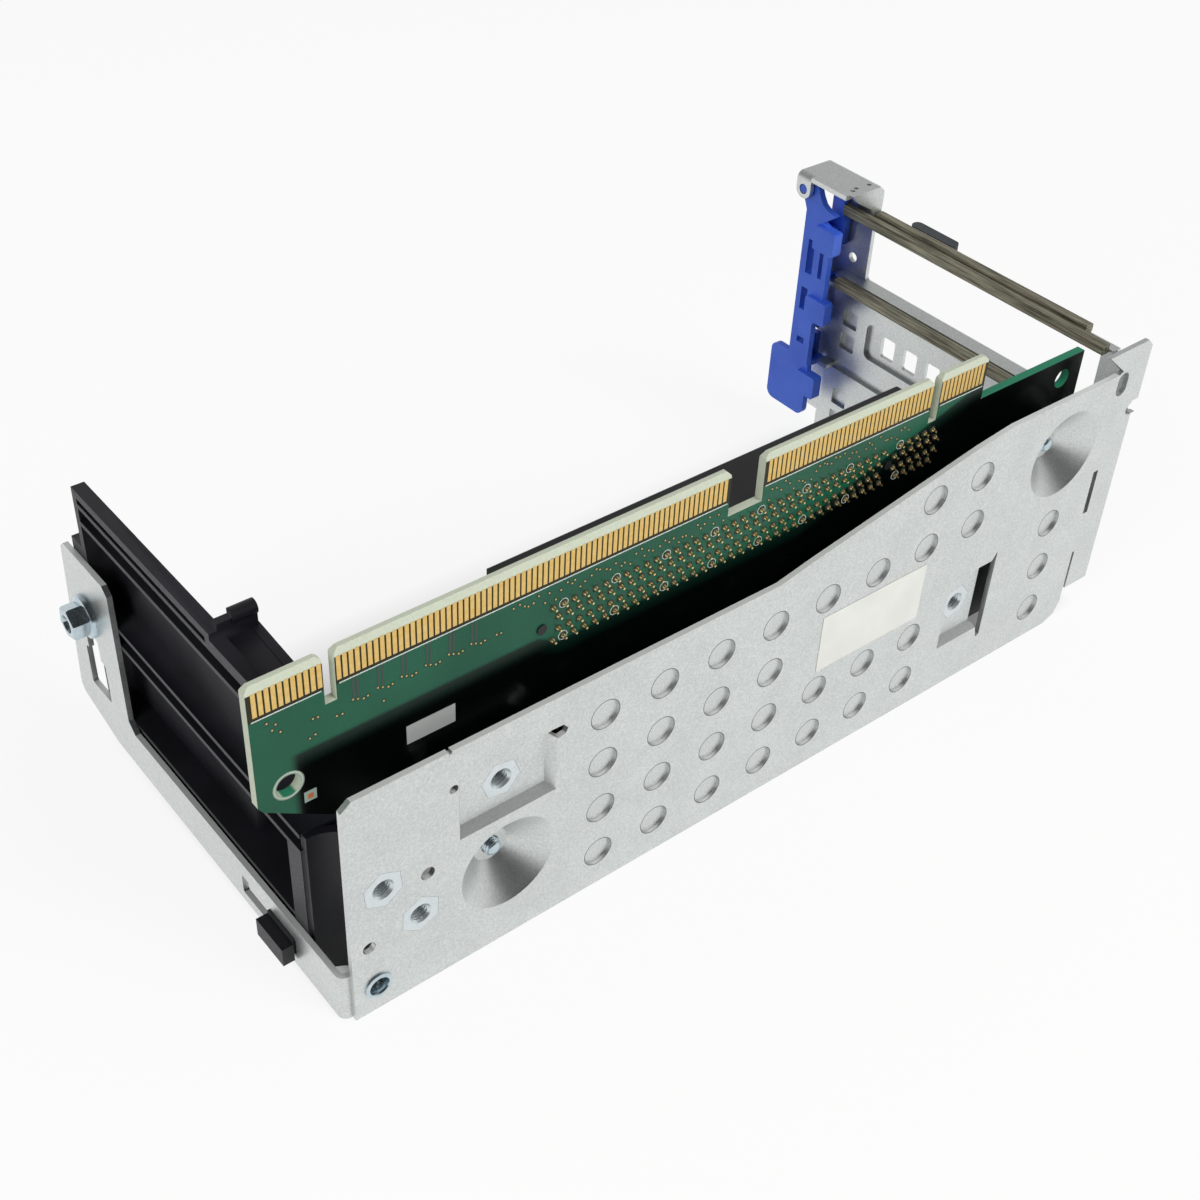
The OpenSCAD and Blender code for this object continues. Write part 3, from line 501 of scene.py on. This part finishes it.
def pin_places(drop_of_socket):
    """The pins of one socket. They alternate between the outer and the inner rows."""
    places = []
    for i in range(PINS):
        x = FIRST_PIN + i * PIN_PITCH + (KEY if i >= PINS_BEFORE_KEY else 0.0)
        for offset in INNER_ROWS if i % 2 else OUTER_ROWS:
            places.append((x, drop_of_socket + offset))
    return places


SOCKET_DROPS = [middle_drop(name) for name in SOCKETS]
ALL_PINS = [place for drop in SOCKET_DROPS for place in pin_places(drop)]
print(len(ALL_PINS), "pins")

# %% [markdown]
# ## One tree for every field
# Pins, rings and vias are all one shape put on many places. The places become a cloud of points,
# and a tree puts the shape on each. Its sizes are named inputs, so one function builds every tree.
# Realize Instances turns the copies into real faces, and the result is kept as a plain mesh.

# %% Field of equal shapes
def field(name, places, sizes, build, material, depth=0.0):
    """Puts one shape on each (x, drop) place on the board's face and returns a plain mesh.

    sizes are the tree's named inputs in metres, and build makes the shape from their sockets.
    """
    data = bpy.data.meshes.new(name)
    data.from_pydata([at(x, depth, drop) for x, drop in places], [], [])
    host = bpy.data.objects.new(name, data)
    bpy.context.scene.collection.objects.link(host)
    tree = bpy.data.node_groups.new(name, "GeometryNodeTree")
    tree.interface.new_socket("Places", in_out="INPUT", socket_type="NodeSocketGeometry")
    for key in sizes:
        tree.interface.new_socket(key, in_out="INPUT", socket_type="NodeSocketFloat")
    tree.interface.new_socket("Field", in_out="OUTPUT", socket_type="NodeSocketGeometry")
    group = add(tree, "NodeGroupInput")
    shape = build(tree, group)
    spread = add(tree, "GeometryNodeInstanceOnPoints", None, Points=group.outputs["Places"],
                 Instance=shape, Rotation=(math.radians(90), 0, 0))
    solid = add(tree, "GeometryNodeRealizeInstances", None, n0=spread.outputs[0])
    dressed = add(tree, "GeometryNodeSetMaterial", None, Geometry=solid.outputs[0],
                  Material=material)
    add(tree, "NodeGroupOutput", None, n0=dressed.outputs[0])
    modifier = host.modifiers.new("field", "NODES")
    modifier.node_group = tree
    for item in tree.interface.items_tree:
        if item.in_out == "INPUT" and item.name in sizes:
            modifier[item.identifier] = sizes[item.name]
    view = bpy.context.evaluated_depsgraph_get()
    baked = bpy.data.meshes.new_from_object(host.evaluated_get(view))
    host.modifiers.clear()
    host.data = baked
    return host


# %% [markdown]
# ## Joint, ring and dot
# A solder joint wets the pin and stands as a small dome with the cut pin in it. Printed and etched
# rings are far thinner than they are wide, so a circle swept with a flat diamond makes them. A via
# is a low disc.

# %% Shapes for the fields
def solder_joint(tree, group):
    """A round solder joint with the cut end of its pin. It grows along +Z, away from the board."""
    ball = add(tree, "GeometryNodeMeshUVSphere", None, Segments=12, Rings=8,
               Radius=group.outputs["Joint radius"])
    fillet = add(tree, "GeometryNodeTransform", None, Geometry=ball.outputs[0],
                 Scale=(1, 1, 1.2))
    pin = add(tree, "GeometryNodeMeshCylinder", None, Vertices=8,
              Radius=group.outputs["Pin radius"], Depth=group.outputs["Pin length"])
    lift = add(tree, "ShaderNodeMath", {"operation": "MULTIPLY"}, n0=group.outputs["Pin length"],
               n1=0.5)
    move = add(tree, "ShaderNodeCombineXYZ", None, Z=lift.outputs[0])
    raised = add(tree, "GeometryNodeTransform", None, Geometry=pin.outputs[0],
                 Translation=move.outputs[0])
    both = add(tree, "GeometryNodeJoinGeometry")
    tree.links.new(fillet.outputs[0], both.inputs[0])
    tree.links.new(raised.outputs[0], both.inputs[0])
    return both.outputs[0]


def flat_ring(tree, group):
    """A printed or etched ring: a circle swept with a flat diamond."""
    path = add(tree, "GeometryNodeCurvePrimitiveCircle", None, Resolution=24,
               Radius=group.outputs["Ring radius"])
    profile = add(tree, "GeometryNodeCurvePrimitiveCircle", None, Resolution=4,
                  Radius=group.outputs["Line radius"])
    swept = add(tree, "GeometryNodeCurveToMesh", None, Curve=path.outputs[0],
                n1=profile.outputs[0])
    flat = add(tree, "GeometryNodeTransform", None, Geometry=swept.outputs[0], Scale=(1, 1, 0.12))
    return flat.outputs[0]


def dot(tree, group):
    """A plated via: a low disc."""
    disc = add(tree, "GeometryNodeMeshCylinder", None, Vertices=12,
               Radius=group.outputs["Dot radius"], Depth=group.outputs["Dot height"])
    return disc.outputs[0]


# %% [markdown]
# ## Solder, ink and bare copper
# The joints are bright tin solder that picks up the yellow of the gold beside it. Silkscreen ink is
# matt and gritty where it sinks into the mask. A track etched beside the mask reads as a dark line.

# %% Solder and print
def printed(name, code, rough=0.5):
    """A thin coat of one tone with the mask's dark grit showing through."""
    material, tree, place = start(name)
    grit = noise(tree, place, 0.15 * MM, 2.0)
    tone = blend(tree, ramp(tree, grit, 0.3, 0.7, 0.0, 0.25), colour(code), colour("#5C6A60"))
    close(tree, add(tree, "ShaderNodeBsdfPrincipled", None, Base_Color=tone, Roughness=rough))
    return material


def solder():
    material, tree, place = start("bright_tin_solder")
    cloud = noise(tree, place, 0.6 * MM, 2.0)
    tone = blend(tree, cloud, colour("#E0B45E"), colour("#F7E7BE"))
    close(tree, add(tree, "ShaderNodeBsdfPrincipled", None, Base_Color=tone, Metallic=0.9,
                    Roughness=0.25))
    return material


SOLDER = solder()
SILK = printed("white_silkscreen_ink", "#D5DBD5")
DARK_TRACE = printed("mask_over_etched_trench", "#10291F", 0.3)
TINNED = printed("tinned_copper_ring", "#A9B8A8", 0.4)
FAINT_INK = printed("worn_silkscreen_ink", "#8FA096")
COPPER = printed("bare_copper_test_patch", "#B5622D", 0.4)
print("made", SOLDER.name, SILK.name, DARK_TRACE.name, TINNED.name, FAINT_INK.name, COPPER.name)

# %% [markdown]
# ## Pins, pads and pegs
# Every pin gets its joint and a dark ring where the mask stops short of the pad. Each socket also
# has two moulded pegs that end flush in the board, one beyond each end of its pins.

# %% Pins, pads and pegs
PEGS = (48.6, 122.2)
pins = field("solder_pins", ALL_PINS, {"Pin radius": 0.2 * MM, "Pin length": 0.95 * MM,
                                       "Joint radius": 0.42 * MM}, solder_joint, SOLDER)
seat(pins, "contact_gold")
pads = field("pin_pads", ALL_PINS, {"Ring radius": 0.54 * MM, "Line radius": 0.13 * MM},
             flat_ring, DARK_TRACE)
seat(pads, "board_green")
pegs = field("socket_pegs", [(x, drop) for drop in SOCKET_DROPS for x in PEGS],
             {"Dot radius": 0.9 * MM, "Dot height": 0.5 * MM}, dot, SOCKET_BLACK)
seat(pegs, "connector_black")

# %% [markdown]
# ## Ring marks
# A printed white ring goes round every tenth pin of the top socket, so that a person can count
# them. They are the same flat rings, only wider and thinner.

# %% Ring marks
top = SOCKET_DROPS[0]
tenths = [FIRST_PIN + 2 + 10 * i for i in range(7)] + [FIRST_PIN + 74]
marked = field("pin_marks", [(x, top + row) for x in tenths for row in OUTER_ROWS],
               {"Ring radius": 0.82 * MM, "Line radius": 0.08 * MM}, flat_ring, SILK)
seat(marked, "label_paper")

# %% [markdown]
# ## Vias
# A via is a plated hole that carries a track through the board. They sit in loose groups under the
# first contacts, along a scattered band above the pins, and singly near the left hole. A fixed seed
# keeps the scatter the same each time. Each one is a gold dot in a dark ring.

# %% Vias
PAIRS = [16.5, 20.55, 24.5, 28.55, 32.5, 36.4]
BAND_START, BAND_STEP, BAND_COUNT, BAND_DROPS, BAND_GAP = 43.5, 0.95, 88, (6.9, 9.4), (85, 93)
rng = random.Random(7)
vias = []
for x in PAIRS:
    vias += [(x + 0.3, 10.5), (x + 1.2, 10.9), (x + 1.9, 10.75), (x - 0.5, 10.2)]
for i in range(BAND_COUNT):
    x = BAND_START + i * BAND_STEP + rng.uniform(-0.3, 0.3)
    if BAND_GAP[0] < x < BAND_GAP[1]:
        continue
    vias.append((x, rng.uniform(*BAND_DROPS)))
vias += [(3.4, 9.0), (4.0, 8.2), (4.6, 9.9), (2.7, 7.4), (9.6, 10.3), (10.4, 10.4), (13.3, 11.8),
         (14.2, 11.9), (8.9, 13.6), (9.8, 13.3), (20.9, 13.1), (40.4, 10.7), (41.2, 10.8)]
via_dots = field("vias", vias, {"Dot radius": 0.15 * MM, "Dot height": 0.05 * MM}, dot, GOLD)
seat(via_dots, "contact_gold")
via_rings = field("via_trenches", vias, {"Ring radius": 0.30 * MM, "Line radius": 0.07 * MM},
                  flat_ring, DARK_TRACE)
seat(via_rings, "board_green")

# %% [markdown]
# ## Contact line, track pairs and test patch
# A fine printed line runs under each block of contacts, and pairs of tracks drop from the first
# block. Both are straight, so thin bars on the face make them. A square of ink with a dab of bare
# copper in it lies beside the left hole, whose tinned rim is a ring again.

# %% Bars on the board
def bars(name, boxes, material, thick=0.03):
    """Thin bars on the board's face: each is (x0, x1, drop0, drop1) in mm."""
    mesh = bmesh.new()
    for x0, x1, d0, d1 in boxes:
        low, high = at(x0, -thick, d1), at(x1, 0.0, d0)
        made = bmesh.ops.create_cube(mesh, size=1.0)["verts"]
        size = high - low
        bmesh.ops.scale(mesh, vec=size, verts=made)
        bmesh.ops.translate(mesh, vec=(low + high) / 2, verts=made)
    bmesh.ops.recalc_face_normals(mesh, faces=mesh.faces)
    return piece_of(name, mesh, material)


BLOCKS = [(0.0, 11.65), (13.55, 85.2), (92.45, 131.1), (133.0, 144.65)]
line = bars("contact_line", [(a + 0.5, b - 0.4, 6.0, 6.18) for a, b in BLOCKS], SILK)
seat(line, "label_paper")
TRACE_HALF, PAIR_HALF = 0.18, 0.36
traces = bars("trace_pairs", [(x + side - TRACE_HALF, x + side + TRACE_HALF, 6.4, 10.0)
                              for x in PAIRS for side in (-PAIR_HALF, PAIR_HALF)], DARK_TRACE)
seat(traces, "board_green")
patch = bars("copper_patch_ground", [(7.2, 9.2, 23.2, 25.2)], FAINT_INK, 0.04)
seat(patch, "label_paper")
dab = bars("copper_patch", [(7.75, 8.65, 23.8, 24.7)], COPPER, 0.08)
seat(dab, "contact_gold")
hole_rims = field("hole_rims", [(5.0, 20.4)], {"Ring radius": 2.25 * MM, "Line radius": 0.3 * MM},
                  flat_ring, TINNED)
seat(hole_rims, "contact_gold")

# %% [markdown]
# ## Painted shade round the dimples
# The rows of dimples stiffen the side plate. Round each one's soft, shaded rim a painted shade
# draws a fine dark line, made as a thin ring on the sheet.

# %% Dimple rim shade
FIRST_COLUMN, COLUMN_PITCH, FIRST_ROW_DROP, ROW_PITCH = 57, 12.1, 62.4, 10.4


def columns(first, last, row):
    """Places of the dimples of one row. Rows are counted up from the foot of the plate."""
    return [(FIRST_COLUMN + COLUMN_PITCH * i, FIRST_ROW_DROP - ROW_PITCH * row)
            for i in range(first, last + 1)]


DIMPLES = (columns(0, 6, 0) + columns(0, 6, 1) + columns(0, 3, 2) + columns(0, 7, 3)
           + columns(6, 7, 4) + columns(9, 9, 0) + columns(9, 9, 1) + columns(9, 9, 2))
plate_depth = (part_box("side_plate")[0][1] - FACE_Y) / MM
# Painted shade: a thin dark ring round each dimple's rim.
DIMPLE_RIM_SHADE = printed("painted_dimple_rim_shade", "#666A6A", 0.4)
marks = field("dimple_rim_painted_shade", DIMPLES, {"Ring radius": 2.86 * MM, "Line radius": 0.08 * MM},
              flat_ring, DIMPLE_RIM_SHADE, plate_depth)
seat(marks, "galvanised")

# %% [markdown]
# ## Thread
# A thread is a ridge that winds round the shank. Rings stacked along the screw draw it with no
# helix: each ring's radius rises and falls once round, and the crest moves on a little from ring
# to ring. Every screw here is M3, with a pitch of 0.5 mm.

# %% Thread
M3_PITCH = 0.5 * MM


def thread(centre, axis, minor, major, length, toward=1, count=32):
    """Rings of a V-thread of that length in metres, whose crest fades out at its end."""
    pitch = M3_PITCH
    rings = []
    steps = max(4, int(length / pitch * 8))
    for s in range(steps + 1):
        along = length * s / steps
        fade = min(1.0, (length - along) / (0.8 * pitch))

        def side(a, along=along, fade=fade):
            phase = (along / pitch - a / (2 * math.pi)) % 1.0
            crest = 1 - abs(2 * phase - 1)
            return minor + (major - minor) * crest * fade
        rings.append(ring(centre, axis, side, toward * along, count))
    return rings


print("M3 thread, pitch", round(M3_PITCH / MM, 2), "mm")

# %% [markdown]
# ## Board screws
# Two screws hold the board to the floors of the pressed cones. From the front only their threaded
# tips show, and the pan heads sit behind the board. Head and tip are turned shapes, so both come
# from a profile of rings.

# %% Board screws
HEAD_R, BOARD_T = 2.9, 1.6
PAN_HEAD = [(HEAD_R, 0.0), (HEAD_R, 1.1), (2.6, 1.65), (1.9, 2.0), (1.0, 2.0), (0.95, 1.0)]


def screw_tip(name, centre):
    """A machine-screw end that points towards -Y, with a small domed tip."""
    rings = thread(centre, "y", 1.22 * MM, 1.55 * MM, 3.9 * MM, -1)
    for r, extra in ((1.0, 4.05), (0.6, 4.12)):
        rings.append(ring(centre, "y", r * MM, -extra * MM, 32))
    return skin(name, rings, ZINC)


def board_screw(name, x, z):
    """The screw's threaded tip towards the plate and its pan head behind the board."""
    centre = Vector((x, FACE_Y + BOARD_T * MM, z))
    tip = screw_tip(name + "_tip", centre)
    head = [ring(centre, "y", r * MM, along * MM, 32) for r, along in PAN_HEAD]
    return [tip, skin(name + "_head", head, ZINC)]


low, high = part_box("board_screws")
screws = join("board_screws_threaded",
              board_screw("left", low[0] + HEAD_R * MM, low[2] + HEAD_R * MM)
              + board_screw("right", high[0] - HEAD_R * MM, high[2] - HEAD_R * MM))
seat(screws, "zinc", "board_screws")

# %% [markdown]
# ## Flange screw
# This one is cold-headed: a round flange under a hexagon with a dished top. Each part is a profile
# of (distance along X, radius) in mm, counted from the strap's face towards -X. The hexagon's
# rings are turned so that a point falls on every corner, which keeps its edges crisp.

# %% Flange screw
FLANGE = [(0.0, 4.1), (-0.45, 4.1), (-0.95, 3.9), (-1.25, 3.35), (-1.3, 2.9)]
HEX_HEAD = [(-1.0, 2.8), (-3.55, 2.8), (-3.95, 2.55), (-4.05, 2.1)]
DISH = [(-4.0, 1.7), (-3.3, 1.5)]
SHANK = [(-0.5, 1.6), (6.9, 1.6), (7.2, 1.3)]
HEX_CORNER = -0.35

low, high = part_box("flange_screw")
tab_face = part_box("end_strap")[0][0]
centre = Vector((tab_face, (low[1] + high[1]) / 2, (low[2] + high[2]) / 2))


def turned(profile, count=48):
    """Round rings along X from a profile."""
    return [ring(centre, "x", r * MM, along * MM, count) for along, r in profile]


head = [ring(centre, "x", hexagon(r * MM, HEX_CORNER), along * MM, 48, HEX_CORNER)
        for along, r in HEX_HEAD]
parts = [skin("flange", turned(FLANGE), ZINC), skin("hex", head + turned(DISH), ZINC),
         skin("shank", turned(SHANK, 32), ZINC)]
seat(join("flange_screw_headed", parts), "zinc", "flange_screw")

# %% [markdown]
# ## Clinch nuts
# A clinch nut is pressed flush into the sheet, so only its hexagonal face, the countersink and the
# first turns of its thread show. The solids say where each nut is and how its hexagon is turned:
# the loose parts of their mesh are taken apart, and the farthest point of each is a corner.

# %% Clinch nuts
COUNTERSINK_R, COUNTERSINK_D = 1.95 * MM, 0.35 * MM


def loose_parts(mesh):
    """The corners of each loose part of a mesh, one list for each part."""
    seen, parts = set(), []
    for first in mesh.verts:
        stack, part = [first], []
        while stack:
            vert = stack.pop()
            if vert not in seen:
                seen.add(vert)
                part.append(vert.co.copy())
                stack += [edge.other_vert(vert) for edge in vert.link_edges]
        if part:
            parts.append(part)
    return parts


def clinch_nut(x, face_y, z, depth, flat, corner):
    """flat is the distance from centre to flat, corner the angle of one corner of the hexagon."""
    centre = Vector((x, face_y, z))
    outer = hexagon(flat, corner)
    rings = [ring(centre, "y", outer, depth, 48, corner), ring(centre, "y", outer, 0, 48, corner),
             ring(centre, "y", COUNTERSINK_R, 0, 48, corner)]
    turns = thread(centre + Vector((0, COUNTERSINK_D, 0)), "y", 1.72 * MM, 1.5 * MM,
                   depth - COUNTERSINK_D, 1, 48)
    return skin("nut", rings + turns, NUT_ZINC, loop=True)


nuts = []
mesh = welded(SOLIDS["clinch_nuts"])
for part in loose_parts(mesh):
    lows = [min(c[i] for c in part) for i in range(3)]
    highs = [max(c[i] for c in part) for i in range(3)]
    x, z = (lows[0] + highs[0]) / 2, (lows[2] + highs[2]) / 2
    far = max(part, key=lambda c: math.hypot(c[0] - x, c[2] - z))
    reach, corner = math.hypot(far[0] - x, far[2] - z), math.atan2(far[2] - z, far[0] - x)
    print("nut", round(reach / MM, 2), "mm to a corner at", round(math.degrees(corner)) % 60)
    nuts.append(clinch_nut(x, lows[1], z, highs[1] - lows[1], reach * math.cos(math.pi / 6),
                           corner))
mesh.free()
seat(join("clinch_nuts_threaded", nuts), "zinc", "clinch_nuts")

# %% [markdown]
# ## Eyelet
# The eyelet is a drawn tube that is rolled over at both ends, so it holds two sheets together and
# leaves a hole through them. Its section is a closed outline of (depth, radius) in mm, and loop
# joins the last ring to the first.

# %% Eyelet
low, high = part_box("eyelet")
centre = Vector(((low[0] + high[0]) / 2, low[1], (low[2] + high[2]) / 2))
depth = (high[1] - low[1]) / MM
section = [(0.45, 2.5), (0.15, 2.45), (0.0, 2.15), (0.05, 1.8), (0.5, 1.55), (depth - 0.4, 1.5),
           (depth, 1.6), (depth, 2.35), (depth - 0.4, 2.4), (depth - 0.4, 1.9), (0.45, 1.9)]
rolled = [ring(centre, "y", r * MM, along * MM, 48) for along, r in section]
seat(skin("eyelet_rolled", rolled, ZINC, loop=True), "zinc", "eyelet")

# %% [markdown]
# ## Card guide
# The guide is one moulding: ribbed channels in front and a thin wall behind. Behind its narrow top
# rim the wall stays low, so that nothing shows above the rim, and near the step a sloping web
# closes the top. A copy of the solid takes both changes: a boolean cut and a bar along X.

# %% Card guide
# Outlines are (depth, drop) in mm and spans are (x0, x1) in mm.
TRIM, TRIM_SPAN = [(29.6, 21.4), (75, 21.4), (75, 10), (29.6, 10)], (11.06, 16.0)
WEB, WEB_SPAN = [(8.2, 19.4), (29.4, 17.4), (29.4, 16.3), (8.2, 18.3)], (10.9, 15.7)


def bar_along_x(name, outline, x0, x1):
    """A bar whose section is an outline of (depth, drop) points in mm."""
    return skin(name, [[at(x, depth, drop) for depth, drop in outline] for x in (x0, x1)],
                GUIDE_BLACK)


def cut_away(piece, cutter):
    """Takes the cutter out of the piece and removes the cutter."""
    modifier = piece.modifiers.new("cut", "BOOLEAN")
    modifier.operation, modifier.object, modifier.solver = "DIFFERENCE", cutter, "EXACT"
    view = bpy.context.evaluated_depsgraph_get()
    piece.data = bpy.data.meshes.new_from_object(piece.evaluated_get(view))
    piece.modifiers.clear()
    bpy.data.objects.remove(cutter)
    faces = bmesh.new()
    faces.from_mesh(piece.data)
    bmesh.ops.dissolve_limit(faces, angle_limit=math.radians(0.5), verts=faces.verts,
                             edges=faces.edges)
    for face in faces.faces:
        face.smooth = True
    faces.to_mesh(piece.data)
    faces.free()


body = piece_of("guide_body", welded(SOLIDS["card_guide"]), GUIDE_BLACK)
cut_away(body, bar_along_x("guide_trim", TRIM, *TRIM_SPAN))
web = bar_along_x("guide_web", WEB, *WEB_SPAN)
seat(join("card_guide_moulded", [body, web]), "guide_black", "card_guide")

# %% [markdown]
# ## Floor
# The cage stands on a sheet of white studio paper. For the camera and for reflections the paper is
# nearly white, yet part of its real shading is kept, so the cage still casts its shadow, and right
# under the cage nearly all of it is kept. Four ramps multiplied together mark that footprint.

# %% Floor
FOOTPRINT_X, FOOTPRINT_Y = ((-88, -80), (80, 90)), ((-44, -40), (10, 40))
WHITE_SHARE, WHITE_SHARE_UNDER = 0.88, 0.1


def floor_paper():
    material, tree, place = start("white_studio_paper")
    path = add(tree, "ShaderNodeLightPath")
    seen_by = add(tree, "ShaderNodeMath", {"operation": "MAXIMUM"},
                  n0=path.outputs["Is Camera Ray"], n1=path.outputs["Is Glossy Ray"])
    seen = add(tree, "ShaderNodeMath", {"operation": "MAXIMUM"}, n0=seen_by.outputs[0],
               n1=path.outputs["Is Transmission Ray"])
    x, y, _ = add(tree, "ShaderNodeSeparateXYZ", None, n0=place).outputs
    under = 1.0
    for value, (rise, fall) in ((x, FOOTPRINT_X), (y, FOOTPRINT_Y)):
        for (low, high), a, b in ((rise, 0, 1), (fall, 1, 0)):
            under = add(tree, "ShaderNodeMath", {"operation": "MULTIPLY"}, n0=under,
                        n1=ramp(tree, value, low * MM, high * MM, a, b)).outputs[0]
    whitened = ramp(tree, under, 0, 1, WHITE_SHARE, WHITE_SHARE_UNDER)
    share = add(tree, "ShaderNodeMath", {"operation": "MULTIPLY"}, n0=seen.outputs[0],
                n1=whitened)
    paper = add(tree, "ShaderNodeBsdfDiffuse", None, Color=colour("#F4F4F2"))
    glow = add(tree, "ShaderNodeEmission", None, Color=(1, 1, 1, 1), Strength=1.0)
    mixed = add(tree, "ShaderNodeMixShader", None, n0=share.outputs[0], n1=paper.outputs[0],
                n2=glow.outputs[0])
    close(tree, mixed)
    return material


data = bpy.data.meshes.new("floor")
span = 3.0  # half a side, in metres
data.from_pydata([(-span, -span, 0), (span, -span, 0), (span, span, 0), (-span, span, 0)], [],
                 [(0, 1, 2, 3)])
data.materials.append(floor_paper())
floor = bpy.data.objects.new("floor", data)
floor.location.z = -0.0002
bpy.context.scene.collection.objects.link(floor)
print("floor of", 2 * span, "m a side")

# %% [markdown]
# ## Room
# Bare zinc shows its surroundings, so the room matters as much as the lamps. The walls near the
# floor are white, and the sky dims overhead, with a dark spot where the camera stands: faces that
# look up turn grey, and faces that look back at the camera turn dark. The camera itself sees plain
# white.

# %% Room
TO_CAMERA = (-0.505, -0.586, 0.634)
world = bpy.data.worlds.new("studio")
world.use_nodes = True
tree = world.node_tree
tree.nodes.clear()
path = add(tree, "ShaderNodeLightPath")
seen_by = add(tree, "ShaderNodeMath", {"operation": "MAXIMUM"},
              n0=path.outputs["Is Camera Ray"], n1=path.outputs["Is Transmission Ray"])
heading = add(tree, "ShaderNodeTexCoord").outputs["Generated"]
height = add(tree, "ShaderNodeSeparateXYZ", None, n0=heading).outputs[2]
facing = add(tree, "ShaderNodeVectorMath", {"operation": "DOT_PRODUCT"}, n0=heading,
             n1=TO_CAMERA).outputs["Value"]
room = add(tree, "ShaderNodeMath", {"operation": "MULTIPLY"},
           n0=ramp(tree, height, 0.0, 0.6, 0.95, 0.42),
           n1=ramp(tree, facing, 0.22, 0.52, 1.0, 0.05)).outputs[0]
strength = add(tree, "ShaderNodeMapRange", None, n0=seen_by.outputs[0], n1=0.0, n2=1.0, n3=room,
               n4=1.0)
sky = add(tree, "ShaderNodeBackground", None, Color=(1, 1, 1, 1), Strength=strength.outputs[0])
add(tree, "ShaderNodeOutputWorld", None, n0=sky.outputs[0])
bpy.context.scene.world = world
print("world", world.name)

# %% [markdown]
# ## Lamps
# Two broad lamps stand behind diffusers, a stronger one in front and a weaker one at the left. They
# light every surface softly, but the metal shows no picture of them.

# %% Lamps
def lamp(name, place, target, size, watts):
    """A square area lamp that looks at target."""
    light = bpy.data.lights.new(name, "AREA")
    light.size = size
    light.energy = watts
    made = bpy.data.objects.new(name, light)
    made.location = place
    made.visible_glossy = False
    made.rotation_euler = (Vector(target) - Vector(place)).to_track_quat("-Z", "Y").to_euler()
    bpy.context.scene.collection.objects.link(made)
    print("lamp", name, watts, "W")


CAGE_MIDDLE = (0, 0, 0.03)
lamp("key", (0.35, -1.0, 0.8), CAGE_MIDDLE, 0.7, 12)
lamp("fill", (-1.0, -0.3, 0.7), CAGE_MIDDLE, 0.7, 7)
bpy.context.scene.view_settings.view_transform = "Standard"

# %% [markdown]
# ## Sizes
# The finished scene must keep inside the box of the solids.

# %% Sizes
print("scene built")
